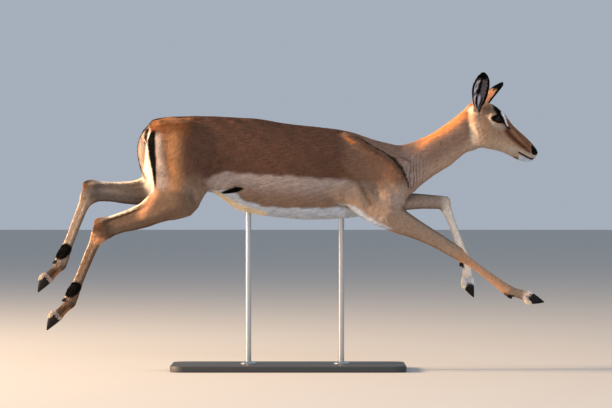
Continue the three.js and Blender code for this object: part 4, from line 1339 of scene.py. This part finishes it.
def coatFinish():
    # hair: the painted colour, mottled and streaked, matt on hair and moist on the bare nose
    f = Finish("coat", Specular_IOR_Level=0.07)
    mottle, fine = f.noise(55, 3), f.noise(420, 2, (0.35, 1, 0.8))
    colour = f.tint(f.painted(), (mottle - 0.4) * 0.9, (0.80, 0.76, 0.73, 1))
    colour = f.tint(colour, (fine - 0.45) * 1.3, (0.62, 0.58, 0.55, 1))
    wet = f.mark("wet")
    f.set(Base_Color=colour, Roughness=0.66 + 0.2 * fine - 0.44 * wet)
    pebble = f.noise(1500, 1)
    f.bumps(fine * (1 - wet) + pebble * wet * 0.6 + mottle * 0.5, 0.0012, 0.5)
    return f.material


coat = coatFinish()
skin = meshOf("skin", skinPoints, skinFaces)
paintOn(skin, coatColour(skinPoints, normals, shares, regions))
valueOn(skin, "wet", wetness(skinPoints, regions))
skin.data.materials.append(coat)
fleshNodes = [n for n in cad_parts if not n.startswith(("stand_", "eye_", "hoof_"))]
placed(skin, fleshNodes)
print("skin:", len(skinPoints), "points")

# Unwrap of the skin.
bpy.context.view_layer.objects.active = skin
skin.select_set(True)
bpy.ops.object.mode_set(mode="EDIT")
bpy.ops.mesh.select_all(action="SELECT")
bpy.ops.uv.smart_project(angle_limit=1.15, island_margin=0.002)
bpy.ops.object.mode_set(mode="OBJECT")
skin.select_set(False)
skin.data.uv_layers[0].name = "OFBake"
flatPlaces = np.zeros(len(skinFaces) * 8)
skin.data.uv_layers["OFBake"].data.foreach_get("uv", flatPlaces)
flatPlaces = flatPlaces.reshape(-1, 4, 2)
skinSpots = np.zeros((len(skinPoints), 2))
skinSpots[skinFaces.ravel()] = flatPlaces.reshape(-1, 2)
print("skin unwrapped")

# Tufts: [length, width, how far the tip stands off] by region; a tuft is a closed spike of four faces whose
# root corners sink in the skin, with a ridge a third of the way along.
tuftSizes = {
    "trunk": (16, 2.3, 1.3), "neck": (14, 2.1, 1.5), "shoulder": (14, 2.1, 1.2), "thigh": (14, 2.1, 1.1),
    "foreLong": (10, 1.7, 0.8), "hindLong": (10, 1.7, 0.8), "foreLow": (8, 1.4, 0.6),
    "hindLow": (8, 1.4, 0.6), "foreEnd": (7, 1.3, 0.7), "hindEnd": (7, 1.3, 0.7), "head": (6, 1.25, 0.5),
    "ear": (4.4, 1.1, 0.3), "tail": (22, 2.3, 3.0),
}
tufts = {"cover": 2.9, "sunk": 0.3, "ridge": 0.35, "patch": 0.0015, "turn": 0.16,
         "clump": 0.14, "shade": [0.9, 0.9, 1.0, 1.08]}


def cellKey(cells):
    # one number for each cell of the grid
    return (cells * np.array([field.shape[1] * field.shape[2], field.shape[2], 1])).sum(1)


skinOnGrid = toGrid(skinPoints)
skinCells = np.floor((skinOnGrid - low) / grid["step"]).astype(int)
cellKeys, cellPoints = np.unique(cellKey(skinCells), return_index=True)


def heightOver(points):
    # how far points stand off the skin: heights over the planes of the skin's points in the 27 cells
    # about each, shared by nearness, and the mean normal there; 0 and no normal where there is no skin
    at = toGrid(points)
    cells = np.floor((at - low) / grid["step"]).astype(int)
    total, height, way = np.zeros(len(points)), np.zeros(len(points)), np.zeros((len(points), 3))
    for shift in np.ndindex(3, 3, 3):
        keys = cellKey(cells + np.array(shift) - 1)
        i = np.minimum(np.searchsorted(cellKeys, keys), len(cellKeys) - 1)
        held = np.flatnonzero(cellKeys[i] == keys)
        p = cellPoints[i[held]]
        weight = np.exp(-((at[held] - skinOnGrid[p]) ** 2).sum(1) / (0.8 * grid["step"]) ** 2)
        total[held] += weight
        height[held] += weight * ((points[held] - skinPoints[p]) * normals[p]).sum(1)
        way[held] += weight[:, None] * normals[p]
    return height / np.maximum(total, 1e-9), unit(way) * (total > 1e-6)[:, None]


def laid(root, normal, along, size, held):
    # ridge and tip of each tuft, moved where held so that they stand off the skin under them as asked
    length, _, lift = (column[:, None] for column in np.asarray(size).T)
    start, _ = heightOver(root)
    found = []
    for part, stands in ((tufts["ridge"], 0.25 + lift * 0.3), (1, lift)):
        place = root + along * length * part + normal * stands
        height, way = heightOver(place)
        move = np.clip(stands[:, 0] + start - height, -0.35 * length[:, 0], 0.35 * length[:, 0])
        found.append(place + way * (move * held)[:, None])
    return found


def tuftPiece(name, root, normal, along, size, colour, place, line=None):
    # every tuft in one mesh: two root corners, a ridge and a tip, which line gives where they are laid
    length, width, lift = (column[:, None] for column in np.asarray(size).T)
    across = np.cross(normal, along)
    low = root - normal * tufts["sunk"]
    ridge, tip = line or (root + along * length * tufts["ridge"] + normal * (0.25 + lift * 0.3),
                          root + along * length + normal * lift)
    corners = np.stack([low - across * width / 2, low + across * width / 2, ridge, tip], 1)
    faces = np.array([[0, 2, 1], [0, 1, 3], [0, 3, 2], [1, 2, 3]])
    faces = (faces[None] + 4 * np.arange(len(root))[:, None, None]).reshape(-1, 3)
    piece = meshOf(name, corners.reshape(-1, 3), faces, smooth=False)
    paintOn(piece, np.clip(colour[:, None] * np.array(tufts["shade"])[None, :, None], 0, 1).reshape(-1, 3))
    corner = np.array([(-1, -1), (1, -1), (0, 0.2), (0, 1)]) * tufts["patch"]
    spots = (place[:, None] + corner[None]).reshape(-1, 2)[faces.ravel()]
    piece.data.uv_layers.new(name="OFBake").data.foreach_set("uv", spots.astype(np.float32).ravel())
    piece.data.materials.append(coat)
    print(name, len(faces), "triangles")
    return placed(piece)


def scatter(count):
    # places on the skin's faces, as many on each as asked, with their corners' weights
    whole = np.floor(count + draws.random(len(count))).astype(int)
    face = np.repeat(np.arange(len(count)), whole)
    s, t = draws.random((2, len(face)))
    return face, np.stack([(1 - s) * (1 - t), s * (1 - t), s * t, (1 - s) * t], 1)


def mixed(values, face, weights):
    # what the corners of a face hold, shared by weight
    held = values[skinFaces[face]]
    return (held * (weights[..., None] if held.ndim == 3 else weights)).sum(1)


def turned(along, normal, angle):
    # directions turned about the normal, flat on the skin
    angle = angle[:, None]
    return along * np.cos(angle) + np.cross(normal, along) * np.sin(angle)


def hairShare():
    # how much hair grows: none on the lids, in the nostrils and on the bare nose
    bare = np.zeros(len(skinPoints))
    for eye in eyes.values():
        _, _, out, outside = eyePlace(eye, skinPoints)
        bare += ease(4.5, 2.5, outside) * ease(0, 4, out)
    for side in (-1, 1):
        bare += ease(3, 1, nostrilDistance(skinPoints, side))
    return np.clip(1 - bare, 0, 1) * (1 - wetness(skinPoints, regions))


def longHair():
    # how much longer hair is on the glands and the groin's edge, and 1 at the edge over the claws
    longer, edge = np.zeros(len(skinPoints)), np.zeros(len(skinPoints))
    for form, share in zip(forms, shares):
        t, _, _ = localOf(form, skinPoints)
        if form["region"] == "hindLow":
            longer += share * glandShare(form, skinPoints) * 0.35
        if form["region"][4:] == "End" and form["at"][-1] > 40:
            edge += share * ease(42, 54, t)
    groin, _ = toPolyline(skinPoints[:, 0], skinPoints[:, 2], marks["groinEdge"])
    return longer + 0.45 * ease(16, 6, groin) * regions["trunk"], edge


def growCoat():
    # roots scattered by area, each with the size, direction, colour and unwrapped place that its spot
    # of the skin gives it
    corner = skinPoints[skinFaces]
    area = np.linalg.norm(np.cross(corner[:, 2] - corner[:, 0], corner[:, 3] - corner[:, 1]), axis=1) / 2
    size = sum(regions[name][:, None] * np.array(tuftSizes[name]) for name in regions)
    muzzle = ease(690, 800, skinPoints[:, 0]) * regions["head"]
    size = size * (1 - 0.35 * muzzle)[:, None]
    longer, edge = longHair()
    size = size * (1 + longer[:, None] * np.array([1, 0.2, 2.2]) + edge[:, None] * np.array([0.3, 0.1, 1.5]))
    fewer = (1 - 0.25 * (regions["head"] + regions["ear"])) * (1 + 0.8 * longer)
    close = tufts["cover"] / (0.5 * size[:, 0] * size[:, 1]) * hairShare() * fewer
    face, weights = scatter(area * close[skinFaces].mean(1))
    root, normal = mixed(skinPoints, face, weights), unit(mixed(normals, face, weights))
    rootShares = np.stack([mixed(share, face, weights) for share in shares])
    rootRegions = regionsOf(rootShares)
    along = lieOf(root, normal, rootShares)
    angle = draws.normal(0, tufts["turn"], len(root)) + tufts["clump"] * grain(root, 26, 21)
    along = turned(along, normal, angle)
    rootSize = mixed(size, face, weights) * draws.uniform(0.75, 1.2, (len(root), 1))
    rootSize[:, 2] *= draws.uniform(0.6, 1.5, len(root))
    colour = coatColour(root + along * rootSize[:, :1] * 0.45, normal, rootShares, rootRegions)
    colour = colour * (1 + 0.12 * draws.normal(0, 1, (len(root), 1)) + 0.07 * grain(root, 14, 31)[:, None])
    place = (flatPlaces[face] * weights[..., None]).sum(1)
    ridge, tip = laid(root, normal, along, rootSize, np.clip(1 - mixed(edge, face, weights), 0, 1))
    return root, normal, along, rootSize, np.clip(colour, 0.0015, 1), place, rootRegions, ridge, tip


root, rootNormal, along, rootSize, rootColour, rootPlace, rootRegions, ridge, tip = growCoat()
print("tufts:", len(root))
groups = {
    "trunk": ("trunk",), "front": ("neck", "shoulder"), "thigh": ("thigh",), "head": ("head", "ear"),
    "fore": ("foreLong", "foreLow", "foreEnd"), "hind": ("hindLong", "hindLow", "hindEnd"), "tail": ("tail",),
}
belongs = np.array([sum(rootRegions[name] for name in names) for names in groups.values()]).argmax(0)
for number, name in enumerate(groups):
    for side, sign in (("right", -1), ("left", 1)):
        kept = (belongs == number) & (root[:, 1] * sign > 0)
        if kept.any():
            tuftPiece("coat_" + name + "_" + side, root[kept], rootNormal[kept], along[kept], rootSize[kept],
                      rootColour[kept], rootPlace[kept], (ridge[kept], tip[kept]))

# Eyes.
eyeLook = {"iris": 0.80, "pupil": (0.60, 0.34), "cornea": 0.05, "bulge": 0.62, "inset": 0.3, "rows": 40,
           "around": 64, "irisColour": (0.007, 0.004, 0.003), "ballColour": (0.012, 0.009, 0.008)}


def makeEye(name, eye):
    # a ball with a bulging cornea, a dark iris and a wide pupil, its pole turned outwards
    pole = unit(np.array([0.16, eye["side"], 0.06]))
    a = np.radians(eyeShape["pitch"])
    flat = unit(np.array([np.cos(a), 0, np.sin(a)]) - pole * (pole[0] * np.cos(a) + pole[2] * np.sin(a)))
    up = np.cross(flat, pole) * eye["side"]
    theta = np.linspace(0, np.pi, eyeLook["rows"])[1:-1]
    phi = np.linspace(0, 2 * np.pi, eyeLook["around"], endpoint=False)
    t, p = np.meshgrid(theta, phi, indexing="ij")
    reach = eye["radius"] * (1 + eyeLook["cornea"] * bump(t, eyeLook["bulge"])) - eyeLook["inset"]
    x, y, z = np.sin(t) * np.cos(p), np.sin(t) * np.sin(p), np.cos(t)
    local = np.stack([x, y, z], -1).reshape(-1, 3)
    points = reach.reshape(-1, 1) * (local[:, :1] * flat + local[:, 1:2] * up + local[:, 2:] * pole)
    ends = np.stack([pole * eye["radius"] * (1 + eyeLook["cornea"]), -pole * eye["radius"]])
    points = np.concatenate([points, ends]) + eye["at"]
    quads, fans = tubeFaces(len(theta), len(phi))
    if eye["side"] > 0:
        quads, fans = quads[:, ::-1], fans[:, ::-1]
    piece = meshOf(name.replace("eye", "eyeball"), points, quads, fans)
    local = np.concatenate([local, [[0, 0, 1], [0, 0, -1]]])
    out = local[:, 2] > 0
    wide = np.hypot(local[:, 0], local[:, 1])
    pupil = (np.abs(local[:, 0] / eyeLook["pupil"][0]) ** 3 + np.abs(local[:, 1] / eyeLook["pupil"][1]) ** 3)
    iris, ball = np.array(eyeLook["irisColour"]), np.array(eyeLook["ballColour"])
    colour = ball + (iris - ball) * (ease(eyeLook["iris"] + 0.03, eyeLook["iris"], wide) * out)[:, None]
    colour = colour * (1 - 0.85 * (ease(1.15, 0.85, pupil) * out)[:, None])
    paintOn(piece, colour)
    piece.data.materials.append(eyeFinish.material)
    return placed(piece, [name])


def tubeFaces(rows, around):
    # quads between rings of points, and fans to a last pair of points at the two ends
    i, j = np.meshgrid(np.arange(rows - 1), np.arange(around), indexing="ij")
    k = (j + 1) % around
    quads = np.stack([i * around + j, (i + 1) * around + j, (i + 1) * around + k, i * around + k], -1)
    j = np.arange(around)
    k = (j + 1) % around
    first, last = rows * around, rows * around + 1
    low = (rows - 1) * around
    fans = np.concatenate([np.stack([np.full(around, first), j, k], 1),
                           np.stack([low + k, low + j, np.full(around, last)], 1)])
    return quads.reshape(-1, 4), fans


eyeFinish = Finish("eye", Roughness=0.04, Specular_IOR_Level=0.2)
eyeFinish.set(Base_Color=eyeFinish.painted())
for name, eye in eyes.items():
    makeEye(name, eye)

# Lashes: how many to a lid, from where to where along it, and their length, width and lift.
lashes = {"count": 46, "along": (-0.92, 0.85), "length": (6.5, 9), "width": 0.55,
          "lift": 1.6}


def makeLashes():
    # a row of fine curved-back hairs along each upper lid
    root, normal, along = [], [], []
    for eye in eyes.values():
        count = lashes["count"]
        part = np.linspace(*lashes["along"], count) + draws.normal(0, 0.01, count)
        a = np.radians(eyeShape["pitch"])
        x = part * eyeShape["long"]
        height = eyeShape["upper"] * np.clip(1 - part ** 2, 0, 1) ** 0.9 + 0.4
        out = np.sqrt(np.maximum((eye["radius"] + 1.6) ** 2 - x ** 2 - height ** 2, 4))
        forward, above = x * np.cos(a) - height * np.sin(a), x * np.sin(a) + height * np.cos(a)
        at = np.stack([forward, eye["side"] * out, above], 1)
        way = np.stack([0.35 * part + 0.25, np.full(count, eye["side"] * 0.8), 0.30 + 0 * part], 1)
        root.append(eye["at"] + at)
        along.append(unit(way + draws.normal(0, 0.06, way.shape)))
        normal.append(unit(np.cross(np.cross(along[-1], np.array([0, 0, 1])), along[-1])))
    root, normal, along = (np.concatenate(part) for part in (root, normal, along))
    size = np.tile([0, lashes["width"], lashes["lift"]], (len(root), 1))
    size[:, 0] = draws.uniform(*lashes["length"], len(root))
    # every seventh point of the skin is near enough for a lash's place on the unwrap
    nearest = np.linalg.norm(skinPoints[None, ::7] - root[:, None], axis=2).argmin(1) * 7
    tuftPiece("lashes", root, normal, along, size, plain("black", len(root)), skinSpots[nearest])


makeLashes()

# Hooves.
claws = {"apart": 9.8, "pinch": 0.82, "sunk": 4, "rows": 26, "around": 40, "inner": 0.82, "outer": 1.04}
clawWalls = {}


def makeClaw(name, coronet, toe, away):
    # a claw from the coronet to its point: rounded wall ahead, flat against its twin, narrow behind
    down = unit(toe - coronet)
    across, _ = directions(down)
    top = coronet + across * claws["apart"] * away
    tip = toe + across * claws["apart"] * claws["pinch"] * away
    axis = unit(tip - top)
    across, ahead = directions(axis)
    at, reach = smoothRows(sections["claw"])
    t = np.linspace(at[0], at[-1], claws["rows"])
    phi = np.linspace(0, 2 * np.pi, claws["around"], endpoint=False)
    front, back, side = (np.interp(t, at, reach[:, c])[:, None] for c in range(3))
    c, s = np.cos(phi)[None], np.sin(phi)[None]
    v = np.where(c > 0, front, back) * np.sign(c) * np.abs(c) ** 0.85
    flatness = np.where(s * away < 0, claws["inner"], claws["outer"])
    u = side * flatness * np.sign(s) * np.abs(s) ** 0.75
    points = (top + t[:, None, None] * axis + u[..., None] * across + v[..., None] * ahead).reshape(-1, 3)
    point, plane = coronetPlane(coronet, toe)
    clawWalls[name] = points.reshape(len(t), len(phi), 3), (points - point) @ plane, axis
    past = np.minimum((points - point) @ plane + claws["sunk"], 0)
    points = points - past[:, None] * plane
    ends = np.stack([points[:claws["around"]].mean(0), points[-claws["around"]:].mean(0) + axis * 0.8])
    quads, fans = tubeFaces(claws["rows"], claws["around"])
    piece = meshOf(name.replace("hoof", "claw"), np.concatenate([points, ends]), quads, fans)
    piece.data.materials.append(hornFinish)
    valueOn(piece, "grown", np.concatenate([np.repeat(t, claws["around"]), [t[0], t[-1]]]))
    return placed(piece, [name])


def hornLook():
    # dark horn with growth rings around it, dusty in patches
    f = Finish("horn", Specular_IOR_Level=0.12)
    grown, dust = f.mark("grown"), f.noise(160, 4)
    rings = f.node("ShaderNodeMath", {"operation": "SINE"}, {0: grown * 1.9 + dust * 3})
    dusty = dust.between(0.5, 0.85) * 0.25
    f.set(Base_Color=f.tint((0.008, 0.008, 0.009, 1), dusty, (0.09, 0.08, 0.07, 1), "MIX"),
          Roughness=0.34 + 0.3 * dust)
    f.bumps(Value(f, rings.outputs[0]), 0.00012, 0.35)
    return f.material


hornFinish = hornLook()
for leg, prefix in (("foreRight", "hoof_front_right"), ("foreLeft", "hoof_front_left"),
                    ("hindRight", "hoof_hind_right"), ("hindLeft", "hoof_hind_left")):
    for which, away in (("outer", 1), ("inner", -1)):
        makeClaw(prefix + "_" + which, joints[leg][3], joints[leg][4], legs[leg]["side"] * away)


# Hair that runs down over the top of each claw: [length, colour] by foot.
fringes = {"hoof_front_right": (11, "milk"), "hoof_front_left": (17, "snow"), "hoof_hind_right": (7, "flank"),
           "hoof_hind_left": (7, "flank")}
fringe = {"count": 420, "from": (-9, 1), "width": 1.6}


def makeFringes():
    # tufts rooted around the top of each claw and lying down its wall
    parts = []
    for name, (wall, height, axis) in clawWalls.items():
        length, shade = fringes[name.rsplit("_", 1)[0]]
        rows, around = wall.shape[:2]
        height = height.reshape(rows, around)
        turn = draws.uniform(0, around, fringe["count"])
        left, share = turn.astype(int), turn % 1
        right = (left + 1) % around
        column = wall[:, left] * (1 - share[:, None]) + wall[:, right] * share[:, None]
        height = height[:, left] * (1 - share) + height[:, right] * share
        each = np.arange(fringe["count"])
        start = draws.uniform(*fringe["from"], fringe["count"])
        reach = length * draws.uniform(0.6, 1.15, fringe["count"])
        line = np.zeros((3, fringe["count"], 3))
        for i, down in enumerate((0 * reach, tufts["ridge"] * reach, reach)):
            row = np.abs(height - (start + down)).argmin(0)
            line[i] = column[row, each] + (start + down - height[row, each])[:, None] * axis
        middle = wall.mean(1)[np.abs(height - start - 4).argmin(0)]
        along = unit(line[2] - line[0])
        normal = line[1] - middle
        normal = unit(normal - (normal * along).sum(1)[:, None] * along)
        size = np.column_stack([reach, np.full(len(reach), fringe["width"]), np.full(len(reach), 0.8)])
        near = np.flatnonzero(np.linalg.norm(skinPoints - line[0].mean(0), axis=1) < 45)
        spot = near[np.linalg.norm(skinPoints[near][None] - line[0][:, None], axis=2).argmin(1)]
        colour = palette[shade] * (1 + 0.12 * draws.normal(0, 1, (len(reach), 1)))
        parts.append((line[0], normal, along, size, colour, skinSpots[spot], line[1] + normal * 1.1,
                      line[2] + normal * draws.uniform(0.4, 1.3, (len(reach), 1))))
    root, normal, along, size, colour, spot, ridge, tip = (np.concatenate(part) for part in zip(*parts))
    tuftPiece("coat_coronets", root, normal, along, size, np.clip(colour, 0.002, 1), spot, (ridge, tip))


makeFringes()


dewClaw = {"behind": 14, "apart": 8.5, "long": 15, "back": 9, "radius": 5.2, "rows": 9, "around": 16}


def spike(root, tip):
    # a blunt cone from root to tip: points of its rings and its two ends
    axis = unit(tip - root)
    across, ahead = directions(axis)
    t = np.linspace(0, 1, dewClaw["rows"])
    wide = dewClaw["radius"] * np.sqrt(np.clip(1 - t ** 2.4, 0.02, 1))
    phi = np.linspace(0, 2 * np.pi, dewClaw["around"], endpoint=False)
    ring = np.cos(phi)[:, None] * ahead * 1.25 + np.sin(phi)[:, None] * across
    points = (root + (tip - root) * t[:, None])[:, None] + wide[:, None, None] * ring[None]
    return np.concatenate([points.reshape(-1, 3), [root, tip + axis * 0.3]])


def makeDewClaws():
    # two behind each fetlock, all in one piece
    points = []
    for bones in joints.values():
        down = unit(bones[3] - bones[2])
        across, ahead = directions(down)
        for away in (-1, 1):
            root = bones[2] - ahead * dewClaw["behind"] + across * dewClaw["apart"] * away + down
            points.append(spike(root, root + down * dewClaw["long"] - ahead * dewClaw["back"]))
    faces = tubeFaces(dewClaw["rows"], dewClaw["around"])
    starts = np.arange(len(points))[:, None, None] * len(points[0])
    quads, fans = ((f[None] + starts).reshape(-1, f.shape[1]) for f in faces)
    points = np.concatenate(points)
    piece = meshOf("dewclaws", points, quads, fans)
    piece.data.materials.append(hornFinish)
    valueOn(piece, "grown", np.zeros(len(points)))
    placed(piece)


makeDewClaws()
print("eyes and hooves")

# Stand.
stand = {"base": (760, 360, 20), "corner": 45, "edge": 3, "rod": 9, "rodEdge": 0.6,
         "rodAt": {"rear": -130, "front": 172}, "around": 64, "crease": 35,
         "collar": [(9.15, 0), (26, 0), (26, 2.4), (25.2, 3.2), (15, 8.4), (13.4, 9), (9.15, 9)]}


def turnedPiece(name, profile, x, z, finish):
    # a closed profile of radius and height turned about the upright line at x, and raised to z
    profile, around = np.array(profile, float), stand["around"]
    phi = np.linspace(0, 2 * np.pi, around, endpoint=False)
    ring = np.stack([np.cos(phi), np.sin(phi), np.zeros(around)], 1)
    points = (ring[None] * profile[:, None, :1] + np.array([0, 0, 1]) * profile[:, None, 1:]).reshape(-1, 3)
    rows = len(profile)
    i, j = np.meshgrid(np.arange(rows), np.arange(around), indexing="ij")
    following, k = (i + 1) % rows, (j + 1) % around
    here, there = i * around, following * around
    quads = np.stack([here + j, here + k, there + k, there + j], -1).reshape(-1, 4)
    piece = meshOf(name.replace("stand_", ""), points + np.array([x, 0, z]), quads)
    piece.data.materials.append(finish)
    sharpen(piece)
    return placed(piece, [name])


def sharpen(piece):
    # edges sharper than the crease angle keep their corner
    piece.data.set_sharp_from_angle(angle=np.radians(stand["crease"]))


def makeStand():
    # a plate with round corners and edges, and a rod and a collar at each place; the rods are as tall
    # as their CAD nodes
    paint = Finish("stand_paint", Specular_IOR_Level=0.4)
    speckle = paint.noise(900, 2)
    paint.set(Base_Color=(0.045, 0.047, 0.050, 1), Roughness=0.5 + 0.12 * speckle)
    paint.bumps(speckle, 0.0002, 0.35)
    steel = Finish("stand_steel", Metallic=1.0)
    brushed = steel.noise(600, 2, (1, 1, 0.04))
    steel.set(Base_Color=steel.tint((0.60, 0.61, 0.62, 1), brushed * 0.5, (0.78, 0.78, 0.79, 1)),
              Roughness=0.24 + 0.2 * brushed)
    steel.bumps(brushed, 0.0001, 0.25)
    length, width, height = stand["base"]
    r, e = stand["corner"], stand["edge"]
    turn = np.linspace(0, np.pi / 2, 12)
    outline = []
    for quarter, (sx, sy) in enumerate(((1, 1), (-1, 1), (-1, -1), (1, -1))):
        a = turn + quarter * np.pi / 2
        centre = np.array([sx * (length / 2 - r), sy * (width / 2 - r)])
        outline.append(centre + r * np.stack([np.cos(a), np.sin(a)], 1))
    outline = np.concatenate(outline)
    out = unit(outline - np.sign(outline) * (np.array([length / 2 - r, width / 2 - r])))
    step = np.linspace(0, np.pi / 2, 5)
    rings = [(e * (1 - np.sin(a)), e * (1 - np.cos(a))) for a in step]
    rings += [(e * (1 - np.cos(a)), height - e * (1 - np.sin(a))) for a in step]
    points = np.concatenate([np.column_stack([outline - out * inset, np.full(len(outline), z)])
                             for inset, z in rings])
    quads, fans = tubeFaces(len(rings), len(outline))
    points = np.concatenate([points, [[0, 0, 0], [0, 0, height]]])
    piece = meshOf("base_plate", points, quads[:, ::-1], fans[:, ::-1])
    piece.data.materials.append(paint.material)
    sharpen(piece)
    placed(piece, ["stand_base"])
    for place, x in stand["rodAt"].items():
        low, high = (corner[2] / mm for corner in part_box("stand_rod_" + place))
        wide, cut = stand["rod"], stand["rodEdge"]
        profile = [(0.01, low), (wide - cut, low), (wide, low + cut), (wide, high - cut), (wide - cut, high),
                   (0.01, high)]
        turnedPiece("stand_rod_" + place, profile, x, 0, steel.material)
        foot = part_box("stand_collar_" + place)[0][2] / mm
        turnedPiece("stand_collar_" + place, stand["collar"], x, foot, steel.material)


makeStand()
print("stand made")

# Studio.
# Here places are in metres: a low warm light from behind and a cool soft one from the front right.
studio = {
    "floor": (0.50, 0.49, 0.475, 1), "floorReach": 60, "sky": (0.38, 0.43, 0.50, 1), "skyStrength": 1.0,
    "key": {"at": (-9.0, -0.4, 3.2), "toward": (0, 0, 0.65), "size": 1.8, "power": 3300,
            "colour": (1, 0.70, 0.44)},
    "fill": {"at": (2.0, -8.0, 4.5), "toward": (0, 0, 0.6), "size": 3, "power": 230,
             "colour": (0.84, 0.92, 1)},
}
view = {"lens": 200, "sensor": 36, "at": (0.0569, -11.05, 0.5395)}


def areaLight(name, at, toward, size, power, colour):
    # a square light that faces the point it is turned towards
    data = bpy.data.lights.new(name, "AREA")
    data.size, data.energy, data.color = size, power, colour
    light = bpy.data.objects.new(name, data)
    light.location = at
    way = unit(np.array(toward, float) - np.array(at, float))
    light.rotation_euler = (np.arccos(-way[2]), 0, np.arctan2(-way[0], way[1]))
    bpy.context.scene.collection.objects.link(light)
    return light


def makeStudio():
    # a wide pale floor, an even sky and the two lights
    floorFinish = Finish("floor", Roughness=0.9)
    mottled = floorFinish.tint(studio["floor"], floorFinish.noise(3) * 0.2, (0.9, 0.9, 0.9, 1))
    floorFinish.set(Base_Color=mottled)
    corners = np.array([(-1, -1, 0), (1, -1, 0), (1, 1, 0), (-1, 1, 0)]) * studio["floorReach"] / mm
    floor = meshOf("floor", corners, np.array([[0, 1, 2, 3]]), smooth=False)
    floor.data.materials.append(floorFinish.material)
    world = bpy.data.worlds.new("studio")
    bpy.context.scene.world = world
    world.use_nodes = True
    background = world.node_tree.nodes["Background"]
    background.inputs["Color"].default_value = studio["sky"]
    background.inputs["Strength"].default_value = studio["skyStrength"]
    areaLight("key", **studio["key"])
    areaLight("fill", **studio["fill"])
    bpy.context.scene.view_settings.view_transform = "Standard"


makeStudio()
cameraData = bpy.data.cameras.new("camera")
cameraData.lens, cameraData.sensor_width = view["lens"], view["sensor"]
camera = bpy.data.objects.new("camera", cameraData)
camera.location = view["at"]
camera.rotation_euler = (np.pi / 2, 0, 0)
bpy.context.scene.collection.objects.link(camera)
bpy.context.scene.camera = camera

print("done")
